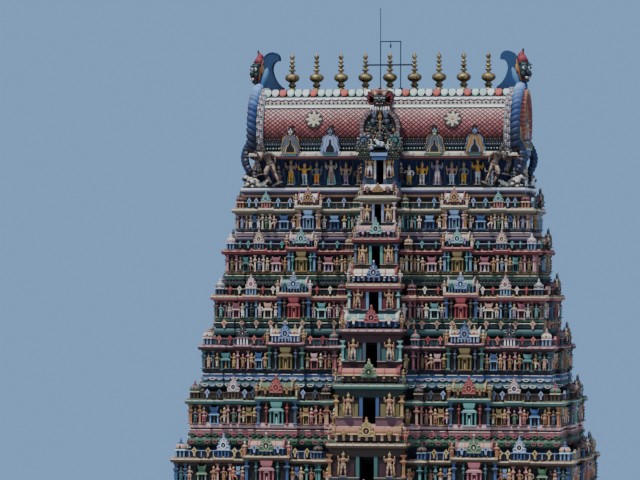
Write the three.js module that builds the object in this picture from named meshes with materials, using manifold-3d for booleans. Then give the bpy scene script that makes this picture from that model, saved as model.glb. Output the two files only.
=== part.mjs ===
// A nine-storey temple gateway tower at half its real size: a granite base with a passage through it,
// eight stepped storeys of brick and plaster, a neck storey, and a barrel roof with nine finials.
// The front faces -Y, Z is up, and the origin is on the ground under the middle of the tower.
import * as THREE from "three";
import { mergeVertices } from "three/addons/utils/BufferGeometryUtils.js";
import Module from "manifold-3d";

const wasm = await Module();
wasm.setup();

// Every size below is in metres of the real tower. One of those metres is 500 mm in the model.
const MODEL_MM_PER_METRE = 500;
const BED = 0.0006; // the mortar bed left between two solids that rest on each other

// Driving sizes
const STOREYS = 8;
const TOP_EAVE = { x: 9.2, y: 3.3 }; // half the size of the top storey's eave
const EAVE_GROWTH = { x: 0.45, y: 0.68 }; // what each lower storey adds to it
const EAVE_CURVE = { x: 0.027, y: 0.02 }; // and how fast that grows, which gives the curved outline
const TOP_RISE = 2.51; // from one eave to the next, at the top
const RISE_GROWTH = 0.243; // and what each lower storey adds
const TOP_WALL_HEIGHT = 1.0;
const WALL_HEIGHT_GROWTH = 0.06;
const LOWEST_EAVE_Z = 14.5;
const WALL_THICKNESS = { top: 0.95, growth: 0.15 };
const FLOOR_THICKNESS = 0.35;

const EAVE_REACH = 0.32; // an eave's lip beyond the corner bay's wall
const EAVE_DEPTH = 0.3;
const RECESS = 0.16; // plain wall behind the corner bays
const BAY_STEP = 0.14; // the middle bays' wall in front of the corner bays
const PORCH_STEP = 0.45; // the wider step behind the central porch
const PORCH_REACH = 1.47; // the central porch in front of the corner bays
const PORCH_RISE = 0.6; // the porch's eave above the main one
const PORCH_LIP = 0.14; // the porch's eave beyond its walls, at the sides
const PORCH_BROW = 0.22; // and in front
const PODIUM_LEDGE = 0.06; // a podium's face in front of the wall on it
const KEYED = 0.05; // how deep a podium is bedded into the eave under it
const DOOR = { half: 0.21, growth: 0.045 };

// The row of little halls, domes and gables on every eave
const PARAPET = {
  growth: 0.05, // what each lower storey adds to a size of 1
  hallShare: 0.9, // of the bay or porch that a hall stands over
  hallDepth: 0.33,
  hallWall: 0.3,
  hallWallGrowth: 0.09,
  domeHalf: 0.3,
  domeWall: 0.3,
  gableHeight: 0.95,
  gableGrowth: 0.06,
  setBack: 0.12,
  kerbHeight: 0.32,
  kerbThickness: 0.3,
};

const BASE = {
  lowerHeight: 7.6,
  upperTop: 11.3,
  wall: { x: 14.1, y: 9.55 },
  porchHalf: 4.2,
  porchReach: 1.3,
  stepHalf: 5.6,
  stepReach: 0.55,
  passageHalf: 2.6,
  ceiling: 0.9, // over the hall inside the passage
  lintelDepth: 3.0, // front to back, at either mouth of the passage
  bandReach: 0.35,
  bandDepth: 0.35,
  eaveReach: 0.7,
  eaveDepth: 0.45,
};
const PLINTH = [
  { top: 1.0, reach: 1.1 },
  { top: 1.85, reach: 0.75 },
  { top: 2.45, reach: 0.4 },
];

const NECK = {
  floorZ: 38.6,
  ledge: { x: 8.7, y: 2.9 },
  ledgeDepth: 0.3,
  ledgeReach: 0.3,
  wall: { x: 7.9, y: 1.9 },
  wallThickness: 0.45,
  top: 40.32,
  porchHalf: 1.05,
  porchFront: 3.75,
  porchLip: 0.25,
  eave: { x: 8.05, y: 2.72 },
  eaveDepth: 0.28,
};

const VAULT = {
  radius: 2.6,
  axisZ: 41.9,
  thickness: 0.4,
  halfLength: 7.58,
  ridgeHalf: 1.0,
  ridgeDepth: 0.4,
  ridgeTop: 44.56,
  arcSteps: 15,
};
const GABLE = { inner: 7.6, outer: 8.42, radius: 3.12, arcSteps: 14, hornHalf: 0.36, maskX: 8.12, maskZ: 45.8 };
const CREST = { front: 8.58, half: 1.5, bottom: 41.2, top: 44.3 }; // the arch on a gable's outer face
const DORMER = { half: 0.62, height: 1.75, front: 2.86, spread: [3.15, 5.6] };
const ARCH = {
  half: 1.25,
  front: 3.7,
  back: 1.6,
  centreZ: 42.34,
  top: 44.8,
  browHalf: 0.5,
  nicheHalf: 0.69,
  nicheDrop: 0.3,
  nicheDepth: 0.25,
  arcSteps: 8,
};
const FINIAL_COUNT = 9;
const FINIAL_PITCH = 1.516;

// Solids from three.js geometry

// A closed mesh's geometry as a solid that can be joined and cut.
function solidOf(geometry) {
  const bare = geometry.index ? geometry.toNonIndexed() : geometry.clone();
  const points = new THREE.BufferGeometry().setAttribute("position", bare.getAttribute("position"));
  const merged = mergeVertices(points, 1e-5);
  return new wasm.Manifold(
    new wasm.Mesh({
      numProp: 3,
      vertProperties: merged.attributes.position.array,
      triVerts: new Uint32Array(merged.index.array),
    }),
  );
}

function shapeOf(points) {
  return new THREE.Shape(points.map(([x, y]) => new THREE.Vector2(x, y)));
}

// An upright prism on a plan outline, from one height to another.
function prism(outline, bottom, top) {
  const shape = outline instanceof THREE.Shape ? outline : shapeOf(outline);
  const geometry = new THREE.ExtrudeGeometry(shape, { depth: top - bottom, bevelEnabled: false, curveSegments: 8 });
  return solidOf(geometry.translate(0, 0, bottom));
}

// A prism whose outline is drawn in (y, z) and which runs along X.
function prismAlongX(outline, left, right, curveSegments = 8) {
  const shape = outline instanceof THREE.Shape ? outline : shapeOf(outline);
  const geometry = new THREE.ExtrudeGeometry(shape, { depth: right - left, bevelEnabled: false, curveSegments });
  geometry.rotateX(Math.PI / 2).rotateZ(Math.PI / 2);
  return solidOf(geometry.translate(left, 0, 0));
}

// A prism whose outline is drawn in (x, z) and which runs along Y.
function prismAlongY(outline, front, back, curveSegments = 8) {
  const shape = outline instanceof THREE.Shape ? outline : shapeOf(outline);
  const geometry = new THREE.ExtrudeGeometry(shape, { depth: back - front, bevelEnabled: false, curveSegments });
  return solidOf(geometry.rotateX(Math.PI / 2).translate(0, back, 0));
}

function block(left, right, front, back, bottom, top) {
  const geometry = new THREE.BoxGeometry(right - left, back - front, top - bottom);
  return solidOf(geometry.translate((left + right) / 2, (front + back) / 2, (bottom + top) / 2));
}

function joined(solids) {
  return solids.reduce((whole, one) => whole.add(one));
}

// The same solid turned half a turn about Z, for the back of the tower.
const HALF_TURN = new THREE.Matrix4().makeRotationZ(Math.PI).elements;
function turned(solid) {
  return solid.transform([...HALF_TURN]);
}

function bothFaces(solid) {
  return solid.add(turned(solid));
}

// Paint and stone
const FINISHES = {
  granite: new THREE.MeshStandardMaterial({ color: 0x9a8f80, roughness: 0.92 }),
  plaster: new THREE.MeshStandardMaterial({ color: 0x3f6f78, roughness: 0.8 }),
  eavePaint: new THREE.MeshStandardMaterial({ color: 0x8a5b55, roughness: 0.75 }),
  roofPaint: new THREE.MeshStandardMaterial({ color: 0xa8464a, roughness: 0.7 }),
  gablePaint: new THREE.MeshStandardMaterial({ color: 0x3d6ea5, roughness: 0.7 }),
  gilt: new THREE.MeshStandardMaterial({ color: 0xb08a3a, roughness: 0.35, metalness: 0.9 }),
  steel: new THREE.MeshStandardMaterial({ color: 0x4a4c4f, roughness: 0.55, metalness: 0.8 }),
};

// A named mesh from a solid drawn in real metres about its own place.
function piece(name, solid, finish, place = [0, 0, 0]) {
  const { numProp, vertProperties, triVerts } = solid.getMesh();
  const position = new Float32Array((vertProperties.length / numProp) * 3);
  for (let i = 0; i * 3 < position.length; i++) {
    position.set(vertProperties.subarray(i * numProp, i * numProp + 3), i * 3);
  }
  const geometry = new THREE.BufferGeometry();
  geometry.setAttribute("position", new THREE.BufferAttribute(position, 3));
  geometry.setIndex(new THREE.BufferAttribute(triVerts, 1));
  geometry.scale(MODEL_MM_PER_METRE, MODEL_MM_PER_METRE, MODEL_MM_PER_METRE);
  geometry.computeVertexNormals();
  const mesh = new THREE.Mesh(geometry, FINISHES[finish]);
  mesh.name = name;
  mesh.position.set(...place).multiplyScalar(MODEL_MM_PER_METRE);
  return mesh;
}

// The stepped storeys

// The sizes of storey number `index`, counted up from the lowest.
function storeySizes(index) {
  const down = STOREYS - 1 - index;
  const eave = {
    x: TOP_EAVE.x + EAVE_GROWTH.x * down + EAVE_CURVE.x * down ** 2,
    y: TOP_EAVE.y + EAVE_GROWTH.y * down + EAVE_CURVE.y * down ** 2,
  };
  const wall = { x: eave.x - EAVE_REACH, y: eave.y - EAVE_REACH };
  const thickness = WALL_THICKNESS.top + WALL_THICKNESS.growth * down;
  let eaveZ = LOWEST_EAVE_Z;
  for (let lower = 1; lower <= index; lower++) eaveZ += TOP_RISE + RISE_GROWTH * (STOREYS - 1 - lower);
  const wallHeight = TOP_WALL_HEIGHT + WALL_HEIGHT_GROWTH * down;
  return {
    down,
    eave,
    wall,
    eaveZ,
    wallHeight,
    floorZ: eaveZ - wallHeight,
    room: { x: wall.x - thickness, y: wall.y - thickness },
    doorHalf: DOOR.half + DOOR.growth * down,
    porchHalf: 1.04 + 0.245 * down,
    stepHalf: 1.45 + 0.33 * down,
    bayCentre: eave.x * (0.485 + 0.006 * down),
    bayHalf: 0.7 + 0.115 * down,
    cornerHalf: eave.x * 0.05,
    gableCentre: eave.x * 0.76,
    gableHalf: 0.34 + 0.04 * down,
    sideBayHalf: 1.0 + 0.16 * down,
  };
}

// One quarter of a storey's plan, from the middle of the front to the middle of the right side.
function quarterPlan(s, reach) {
  const recess = { x: s.wall.x - RECESS + reach, y: s.wall.y - RECESS + reach };
  const corner = { x: s.wall.x + reach, y: s.wall.y + reach };
  const bayY = s.wall.y + BAY_STEP + reach;
  const bay = [s.bayCentre - s.bayHalf - reach, s.bayCentre + s.bayHalf + reach];
  const cornerX = s.wall.x - 2 * s.cornerHalf - reach;
  const cornerY = s.wall.y - 2 * s.cornerHalf - reach;
  const outline = [
    [s.stepHalf + reach, -(s.wall.y + PORCH_STEP + reach)],
    [s.stepHalf + reach, -recess.y],
    [bay[0], -recess.y],
    [bay[0], -bayY],
    [bay[1], -bayY],
    [bay[1], -recess.y],
    [cornerX, -recess.y],
    [cornerX, -corner.y],
    [corner.x, -corner.y],
    [corner.x, -cornerY],
    [recess.x, -cornerY],
    [recess.x, -(s.sideBayHalf + reach)],
    [corner.x + BAY_STEP, -(s.sideBayHalf + reach)],
  ];
  // On the short sides the corner bay and the middle bay need room for a recess between them.
  return cornerY > s.sideBayHalf + reach + 0.05 ? outline : [...outline.slice(0, 9), ...outline.slice(12)];
}

// The whole plan, anticlockwise, from its quarter.
function fullPlan(quarter) {
  const right = [...quarter, ...quarter.map(([x, y]) => [x, -y]).reverse()];
  return [...right, ...right.map(([x, y]) => [-x, -y])];
}

function porchOutline(half, back, front) {
  return [
    [-half, -front],
    [half, -front],
    [half, -back],
    [-half, -back],
  ];
}

// The right half of a storey's walls, standing on height 0.
function rightWall(s) {
  const porchFront = s.wall.y + PORCH_REACH;
  const ring = prism(fullPlan(quarterPlan(s, 0)), 0, s.wallHeight);
  const porch = bothFaces(
    prism(porchOutline(s.porchHalf, s.wall.y - RECESS, porchFront), 0, s.wallHeight + PORCH_RISE),
  );
  const room = block(-s.room.x, s.room.x, -s.room.y, s.room.y, -1, s.wallHeight + 1);
  const door = block(-s.doorHalf, s.doorHalf, -porchFront - 1, porchFront + 1, -1, s.wallHeight + 1);
  const left = block(-s.wall.x - 1, 0, -porchFront - 1, porchFront + 1, -1, s.wallHeight + 1);
  return ring.add(porch).subtract(room).subtract(door).subtract(left);
}

// A little hall of the parapet, drawn as its end view: upright walls under a round barrel roof.
function parapetHall(x, y, half, depth, bottom, wallTop, alongX) {
  const section = new THREE.Shape();
  section.moveTo(-depth, bottom);
  section.lineTo(depth, bottom);
  section.lineTo(depth, wallTop);
  section.absarc(0, wallTop, depth * 1.06, 0, Math.PI, false);
  section.lineTo(-depth, wallTop);
  const hall = alongX ? prismAlongX(section, -half, half, 3) : prismAlongY(section, -half, half, 3);
  return hall.translate([x, y, 0]);
}

// A little square shrine of the parapet, turned as four flat sides under a four-sided dome.
function parapetDome(x, y, half, bottom) {
  const wallTop = bottom + PARAPET.domeWall;
  const profile = [
    [0, bottom],
    [half, bottom],
    [half, wallTop + half * 0.4],
    [half * 0.62, wallTop + half * 0.95],
    [0, wallTop + half * 1.5],
  ].map(([reach, z]) => new THREE.Vector2(reach * Math.SQRT2, z));
  const dome = new THREE.LatheGeometry(profile, 4).rotateX(Math.PI / 2).rotateZ(Math.PI / 4);
  return solidOf(dome).translate([x, y, 0]);
}

// A pointed gable front of the parapet, drawn in (x, z), with a short body behind it.
function parapetGable(x, front, half, depth, bottom, height) {
  const outline = [
    [x - half, bottom],
    [x + half, bottom],
    [x + half, bottom + height * 0.55],
    [x, bottom + height],
    [x - half, bottom + height * 0.55],
  ];
  return prismAlongY(outline, front, front + depth);
}

// The parapet halls and domes that stand on a storey's eave, with the low wall that links them.
function parapet(s, above) {
  const { setBack, kerbHeight, kerbThickness, hallShare } = PARAPET;
  const size = 1 + PARAPET.growth * s.down;
  const hallDepth = PARAPET.hallDepth * size;
  const hallWall = PARAPET.hallWall + PARAPET.hallWallGrowth * s.down;
  const bayY = s.wall.y + BAY_STEP + EAVE_REACH - hallDepth - setBack;
  const domeHalf = PARAPET.domeHalf * size;
  const bottom = EAVE_DEPTH;
  const high = PORCH_RISE + EAVE_DEPTH;
  const bayHalf = s.bayHalf * hallShare;
  const porchHalf = s.porchHalf * hallShare;
  const porchY = s.wall.y + PORCH_REACH - setBack;
  const front = [
    parapetHall(s.bayCentre, -bayY, bayHalf, hallDepth, bottom, bottom + hallWall, true),
    parapetHall(-s.bayCentre, -bayY, bayHalf, hallDepth, bottom, bottom + hallWall, true),
    parapetHall(0, -porchY, porchHalf, hallDepth, high, high + PARAPET.hallWall, true),
  ];
  const side = parapetHall(s.wall.x, 0, s.sideBayHalf, hallDepth, bottom, bottom + hallWall, false);
  const corners = [-1, 1].map((way) =>
    parapetDome(way * (s.wall.x - domeHalf), -(s.wall.y - domeHalf), domeHalf, bottom),
  );
  const gableHeight = PARAPET.gableHeight + PARAPET.gableGrowth * s.down;
  const gableFront = setBack / 2 - s.wall.y - EAVE_REACH;
  const gables = [-1, 1].map((way) =>
    parapetGable(way * s.gableCentre, gableFront, s.gableHalf, hallDepth, bottom, gableHeight),
  );
  const wallY = s.wall.y + KEYED;
  const kerbTop = bottom + kerbHeight;
  const kerbs = [
    block(above.stepHalf, s.wall.x, -wallY, -wallY + kerbThickness, bottom, kerbTop),
    block(-s.wall.x, -above.stepHalf, -wallY, -wallY + kerbThickness, bottom, kerbTop),
    block(s.wall.x - kerbThickness, s.wall.x, -wallY, wallY, bottom, kerbTop),
  ];
  return bothFaces(joined([...front, side, ...corners, ...gables, ...kerbs]));
}

// A storey's eave with its parapet, and the podium that carries the next floor, from height 0 up.
function eaveAndPodium(s, above, podiumHeight, podiumSolid) {
  const plate = prism(fullPlan(quarterPlan(s, EAVE_REACH)), 0, EAVE_DEPTH);
  const porchFront = s.wall.y + PORCH_REACH;
  const porchSpace = bothFaces(
    prism(porchOutline(s.porchHalf + BED, s.wall.y - RECESS - 0.001, porchFront + 2), -1, PORCH_RISE),
  );
  const porchRoof = bothFaces(
    prism(
      porchOutline(s.porchHalf + PORCH_LIP, s.wall.y - RECESS - EAVE_DEPTH, porchFront + PORCH_BROW),
      PORCH_RISE,
      PORCH_RISE + EAVE_DEPTH,
    ),
  );
  const cavity = block(-above.room.x, above.room.x, -above.room.y, above.room.y, -1, podiumHeight - FLOOR_THICKNESS);
  return joined([plate, podiumSolid, porchRoof, parapet(s, above)]).subtract(porchSpace).subtract(cavity);
}

// The plain podium under storey `s`, with its central step and porch.
function podiumFor(s, height) {
  const foot = EAVE_DEPTH - KEYED;
  const x = s.wall.x + BAY_STEP + PODIUM_LEDGE;
  const y = s.wall.y + BAY_STEP + PODIUM_LEDGE;
  const body = block(-x, x, -y, y, foot, height);
  const stepFront = s.wall.y + PORCH_STEP + PODIUM_LEDGE;
  const porchFront = s.wall.y + PORCH_REACH + PODIUM_LEDGE;
  const step = prism(porchOutline(s.stepHalf + PODIUM_LEDGE, 0, stepFront), foot, height);
  const porch = prism(porchOutline(s.porchHalf + PODIUM_LEDGE, 0, porchFront), foot, height);
  return body.add(bothFaces(step.add(porch)));
}

const storeys = Array.from({ length: STOREYS }, (_, index) => storeySizes(index));

function storeyGroup(index) {
  const s = storeys[index];
  const name = "storey_" + (index + 1);
  const group = new THREE.Group();
  group.position.z = s.floorZ * MODEL_MM_PER_METRE;
  const right = rightWall(s);
  group.add(piece(name + "_right_wall", right, "plaster"));
  group.add(piece(name + "_left_wall", turned(right), "plaster"));
  const above = storeys[index + 1] ?? neckPlan;
  const podiumHeight = above.floorZ - s.eaveZ - BED;
  const podiumSolid = index + 1 < STOREYS ? podiumFor(above, podiumHeight) : neckPodium(podiumHeight);
  const eave = eaveAndPodium(s, above, podiumHeight, podiumSolid);
  group.add(piece(name + "_eave", eave, "eavePaint", [0, 0, s.wallHeight + BED]));
  return group;
}

// The granite base
function basePlan(reach) {
  const { wall, porchHalf, porchReach, stepHalf, stepReach } = BASE;
  return fullPlan([
    [porchHalf + reach, -(wall.y + porchReach + reach)],
    [porchHalf + reach, -(wall.y + stepReach + reach)],
    [stepHalf + reach, -(wall.y + stepReach + reach)],
    [stepHalf + reach, -(wall.y + reach)],
    [wall.x + reach, -(wall.y + reach)],
  ]);
}

function baseGroup() {
  const group = new THREE.Group();
  const { lowerHeight, upperTop, passageHalf, ceiling, lintelDepth, wall, bandReach, bandDepth } = BASE;
  const layers = PLINTH.map(({ top, reach }, i) => prism(basePlan(reach), i ? PLINTH[i - 1].top : 0, top));
  const body = prism(basePlan(0), PLINTH.at(-1).top, lowerHeight - BED);
  const far = wall.x + 3;
  const gap = block(-far, passageHalf, -far, far, -1, lowerHeight + 1);
  const right = joined([...layers, body]).subtract(gap);
  group.add(piece("base_right", right, "granite"));
  group.add(piece("base_left", turned(right), "granite"));

  const hallHalf = wall.y - lintelDepth;
  const hall = block(-passageHalf, passageHalf, -hallHalf, hallHalf, lowerHeight - 1, upperTop - ceiling);
  const band = prism(basePlan(bandReach), lowerHeight, lowerHeight + bandDepth);
  const upper = prism(basePlan(0), lowerHeight + bandDepth, upperTop - BED);
  group.add(piece("base_upper", band.add(upper).subtract(hall), "granite"));

  const first = storeys[0];
  const podiumHeight = first.floorZ - upperTop - BED;
  const plate = prism(basePlan(BASE.eaveReach), 0, BASE.eaveDepth);
  const cornice = plate.add(podiumFor(first, podiumHeight));
  group.add(piece("base_cornice", cornice, "granite", [0, 0, upperTop]));
  return group;
}

// The neck storey under the roof
const neckPlan = {
  floorZ: NECK.floorZ,
  room: { x: NECK.wall.x - NECK.wallThickness, y: NECK.wall.y - NECK.wallThickness },
  stepHalf: NECK.porchHalf + 0.3,
};

function neckPodium(height) {
  const { ledge, ledgeDepth, ledgeReach, porchHalf, porchFront } = NECK;
  const foot = EAVE_DEPTH - KEYED;
  const x = ledge.x - ledgeReach;
  const y = ledge.y - ledgeReach;
  const body = block(-x, x, -y, y, foot, height);
  const lip = block(-ledge.x, ledge.x, -ledge.y, ledge.y, height - ledgeDepth, height);
  const porch = prism(porchOutline(porchHalf + 2 * PODIUM_LEDGE, 1, porchFront + 2 * PODIUM_LEDGE), foot, height);
  return joined([body, lip, bothFaces(porch)]);
}

function neckGroup() {
  const group = new THREE.Group();
  group.position.z = NECK.floorZ * MODEL_MM_PER_METRE;
  const { wall, porchHalf, porchFront, porchLip, eave, eaveDepth } = NECK;
  const height = NECK.top - NECK.floorZ;
  const { room } = neckPlan;
  const ring = prism([[-wall.x, -wall.y], [wall.x, -wall.y], [wall.x, wall.y], [-wall.x, wall.y]], 0, height);
  const porch = bothFaces(prism(porchOutline(porchHalf, 1, porchFront), 0, height));
  const inside = block(-room.x, room.x, -room.y, room.y, -1, height + 1);
  const door = block(-DOOR.half, DOOR.half, -porchFront - 1, porchFront + 1, -1, height + 1);
  const leftSide = block(-wall.x - 1, 0, -porchFront - 1, porchFront + 1, -1, height + 1);
  const right = ring.add(porch).subtract(inside).subtract(door).subtract(leftSide);
  group.add(piece("neck_right_wall", right, "plaster"));
  group.add(piece("neck_left_wall", turned(right), "plaster"));

  const plate = prism([[-eave.x, -eave.y], [eave.x, -eave.y], [eave.x, eave.y], [-eave.x, eave.y]], 0, eaveDepth);
  const porchRoof = bothFaces(prism(porchOutline(porchHalf + porchLip, 1, porchFront + porchLip), 0, eaveDepth));
  const shaft = block(-room.x, room.x, -room.y, room.y, -1, 1);
  group.add(piece("neck_eave", plate.add(porchRoof).subtract(shaft), "eavePaint", [0, 0, height + BED]));
  return group;
}

// The barrel roof
const roofFoot = NECK.top + BED + NECK.eaveDepth + BED; // the height that the vault stands on

// A horseshoe outline in (y, z) of the given radius, standing on the roof's foot.
function horseshoe(radius) {
  const angle = Math.asin((roofFoot - VAULT.axisZ) / radius);
  const shape = new THREE.Shape();
  shape.absarc(0, VAULT.axisZ, radius, angle, Math.PI - angle, false);
  return shape;
}

// The space that the vault and its ridge take, with a bed of mortar around them.
function vaultSpace() {
  const barrel = prismAlongX(horseshoe(VAULT.radius + BED), -9, 9, VAULT.arcSteps);
  const ridgeHalf = VAULT.ridgeHalf + BED;
  return barrel.add(block(-9, 9, -ridgeHalf, ridgeHalf, VAULT.axisZ, VAULT.ridgeTop + BED));
}

function dormer(x) {
  const { half, height, front } = DORMER;
  const z = roofFoot;
  const outline = [
    [x - half, z],
    [x + half, z],
    [x + half * 0.86, z + height * 0.36],
    [x + half * 0.4, z + height * 0.66],
    [x + half * 0.16, z + height],
    [x - half * 0.16, z + height],
    [x - half * 0.4, z + height * 0.66],
    [x - half * 0.86, z + height * 0.36],
  ];
  return prismAlongY(outline, -front, -VAULT.radius * 0.78);
}

function vaultPiece() {
  const { radius, thickness, halfLength, ridgeHalf, ridgeDepth, ridgeTop, arcSteps } = VAULT;
  const outer = prismAlongX(horseshoe(radius), -halfLength, halfLength, arcSteps);
  const inner = prismAlongX(horseshoe(radius - thickness), -halfLength - 1, halfLength + 1, arcSteps);
  const below = block(-9, 9, -radius * 0.7, radius * 0.7, roofFoot - 1, roofFoot + 0.5);
  const ridge = block(-halfLength, halfLength, -ridgeHalf, ridgeHalf, ridgeTop - ridgeDepth, ridgeTop);
  const dormers = DORMER.spread.flatMap((x) => [dormer(x), dormer(-x)]);
  const dressed = joined([outer, ridge, bothFaces(joined(dormers))]);
  return piece("roof_vault", dressed.subtract(inner).subtract(below), "roofPaint");
}

// The curled horn that stands on a gable, drawn in (x, z) with its tip towards the middle of the roof.
function hornShape() {
  const foot = VAULT.ridgeTop - 0.9;
  const shape = new THREE.Shape();
  shape.moveTo(-GABLE.outer + 0.35, foot);
  shape.lineTo(-6.95, foot);
  shape.lineTo(-6.6, VAULT.ridgeTop + 0.18);
  shape.quadraticCurveTo(-7.15, 45.05, -7.3, 45.85);
  shape.quadraticCurveTo(-7.28, 46.45, -6.82, 46.42);
  shape.quadraticCurveTo(-6.8, 46.88, -7.21, 46.94);
  shape.quadraticCurveTo(-7.78, 46.93, -7.95, 46.25);
  shape.lineTo(-8.07, VAULT.ridgeTop);
  return shape;
}

// The lion mask with its pointed crown that faces outwards from the top of a gable.
function gableMask() {
  const profile = [
    [0, -0.95],
    [0.34, -0.8],
    [0.5, -0.35],
    [0.46, 0.15],
    [0.28, 0.55],
    [0.1, 0.95],
    [0, 1.1],
  ].map(([radius, z]) => new THREE.Vector2(radius, z));
  const head = new THREE.LatheGeometry(profile, 8).rotateX(Math.PI / 2);
  return solidOf(head).translate([-GABLE.maskX, 0, GABLE.maskZ]);
}

// The left gable: a disc that closes the vault, with its horn and mask.
function leftGable() {
  const { inner, outer, radius, arcSteps } = GABLE;
  const disc = prismAlongX(horseshoe(radius), -outer, -inner - BED, arcSteps);
  const ridgeRoom = block(-inner - BED, 0, -3, 3, roofFoot - 1, VAULT.ridgeTop + BED);
  const horn = prismAlongY(hornShape(), -GABLE.hornHalf, GABLE.hornHalf, 4).subtract(ridgeRoom);
  const crest = block(-CREST.front, -inner - 0.1, -CREST.half, CREST.half, CREST.bottom, CREST.top);
  return joined([disc, horn, crest, gableMask()]);
}

// The great arch over the neck's porch, which dies into the vault behind it.
function frontArch() {
  const { half, front, back, centreZ, top, browHalf, nicheHalf, nicheDrop, nicheDepth, arcSteps } = ARCH;
  const outline = new THREE.Shape();
  outline.moveTo(-half * 0.72, roofFoot);
  outline.lineTo(half * 0.72, roofFoot);
  outline.lineTo(half * 0.95, roofFoot + 0.5);
  outline.absarc(0, centreZ, half, -0.35, Math.PI + 0.35, false);
  outline.lineTo(-half * 0.95, roofFoot + 0.5);
  const body = prismAlongY(outline, -front, -back, arcSteps);
  const niche = new THREE.Shape();
  niche.absarc(0, centreZ - nicheDrop, nicheHalf, 0, Math.PI * 2, false);
  const hollow = prismAlongY(niche, -front - 1, -front + nicheDepth, arcSteps);
  const brow = block(-browHalf, browHalf, -front - 0.08, -back, centreZ + half * 0.75, top);
  const ears = [-1, 1].map((way) => {
    const ear = [
      [way * 0.3, 43.6],
      [way * 1.1, 43.55],
      [way * 1.16, 44.55],
    ];
    return prismAlongY(way > 0 ? ear : ear.reverse(), -front - 0.02, -front + 0.5);
  });
  return joined([body, brow, ...ears]).subtract(hollow).subtract(vaultSpace());
}

function finialGeometry() {
  const profile = [
    [0, 0],
    [0.3, 0],
    [0.16, 0.3],
    [0.41, 0.7],
    [0.38, 0.88],
    [0.12, 1.01],
    [0.215, 1.2],
    [0.12, 1.34],
    [0.165, 1.46],
    [0.13, 1.92],
    [0, 2.25],
  ].map(([radius, z]) => new THREE.Vector2(radius, z));
  return new THREE.LatheGeometry(profile, 8).rotateX(Math.PI / 2);
}

function rod(from, to, radius) {
  const line = new THREE.LineCurve3(new THREE.Vector3(...from), new THREE.Vector3(...to));
  const ring = new THREE.Shape().absarc(0, 0, radius, 0, Math.PI * 2, false);
  return solidOf(new THREE.ExtrudeGeometry(ring, { steps: 1, extrudePath: line, curveSegments: 3 }));
}

const FRAME = { y: -0.52, posts: [-0.5, 0.74], top: 47.56, rodTop: 49.56, barZ: 46.1, barHalf: 1.46, radius: 0.035 };

// The steel goalpost that stands on the ridge, with the bar across three finials and a pulley hook.
function lampFrame() {
  const { y, posts, top, barZ, barHalf, radius } = FRAME;
  const foot = VAULT.ridgeTop - 0.1; // buried in the ridge, then cut free
  const uprights = posts.map((x) => rod([x, y, foot], [x, y, top], radius));
  const feet = posts.map((x) => block(x - 0.12, x + 0.12, y - 0.1, y + 0.1, foot, foot + 0.24));
  const head = rod([posts[0] - radius, y, top - radius], [posts[1] + radius, y, top - radius], radius);
  const bar = rod([-barHalf, y, barZ], [barHalf, y, barZ], radius * 1.4);
  const hookX = (posts[0] + posts[1]) / 2;
  const hook = rod([hookX, y, top - 0.42], [hookX, y, top - radius], radius * 0.6);
  const pulley = block(hookX - 0.05, hookX + 0.05, y - 0.03, y + 0.03, top - 0.42, top - 0.22);
  return joined([...uprights, ...feet, head, bar, hook, pulley]).subtract(vaultSpace());
}

function roofGroup() {
  const group = new THREE.Group();
  group.add(vaultPiece());
  const gable = leftGable();
  group.add(piece("gable_left", gable, "gablePaint"));
  group.add(piece("gable_right", turned(gable), "gablePaint"));
  const arch = frontArch();
  group.add(piece("front_arch", arch, "plaster"));
  group.add(piece("back_arch", turned(arch), "plaster"));
  const finial = solidOf(finialGeometry());
  for (let i = 0; i < FINIAL_COUNT; i++) {
    const x = (i - (FINIAL_COUNT - 1) / 2) * FINIAL_PITCH;
    group.add(piece("finial_" + (i + 1), finial, "gilt", [x, 0, VAULT.ridgeTop + BED]));
  }
  group.add(piece("lamp_frame", lampFrame(), "steel"));
  const rodX = FRAME.posts[0];
  const lightningRod = rod([rodX, FRAME.y, FRAME.top + BED], [rodX, FRAME.y, FRAME.rodTop], FRAME.radius * 0.7);
  group.add(piece("lightning_rod", lightningRod, "steel"));
  return group;
}

const tower = new THREE.Group();
tower.name = "gateway_tower";
tower.add(baseGroup());
for (let index = 0; index < STOREYS; index++) tower.add(storeyGroup(index));
tower.add(neckGroup(), roofGroup());

export default tower;
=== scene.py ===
import random
from math import asin, atan2, cos, degrees, hypot, pi, radians, sin

import bpy
import numpy as np
from mathutils import Euler, Matrix, Vector


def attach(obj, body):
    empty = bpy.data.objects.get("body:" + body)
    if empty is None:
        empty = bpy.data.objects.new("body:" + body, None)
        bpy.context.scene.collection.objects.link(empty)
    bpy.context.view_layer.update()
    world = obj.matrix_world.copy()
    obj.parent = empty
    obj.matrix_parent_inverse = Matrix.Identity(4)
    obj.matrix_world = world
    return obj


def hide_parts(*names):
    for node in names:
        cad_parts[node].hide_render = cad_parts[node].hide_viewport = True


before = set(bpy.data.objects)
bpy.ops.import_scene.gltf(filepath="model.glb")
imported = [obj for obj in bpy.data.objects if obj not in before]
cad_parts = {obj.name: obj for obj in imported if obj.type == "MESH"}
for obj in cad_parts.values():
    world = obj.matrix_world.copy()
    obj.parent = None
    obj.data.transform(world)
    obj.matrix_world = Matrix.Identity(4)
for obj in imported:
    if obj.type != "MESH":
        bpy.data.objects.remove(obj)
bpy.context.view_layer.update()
bpy.ops.object.select_all(action="DESELECT")
bpy.context.tool_settings.mesh_select_mode = (False, False, True)
print("frame loaded:", len(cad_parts), "nodes")

# Everything below is measured in metres of the real tower, and each finished piece is halved, because
# the model is half the real tower's size.
modelScale = 0.5
chance = random.Random(7)

# Camera and light

view = {
    "azimuth": 9.2,  # degrees round to the right of straight in front
    "distance": 260,
    "height": 33,
    "turnLeft": 0.938,  # the tower stands right of the middle of the picture
    "tiltUp": 0.534,
    "roll": 0.11,  # the photo was held a little off level
    "lens": 239.6,
}


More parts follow.
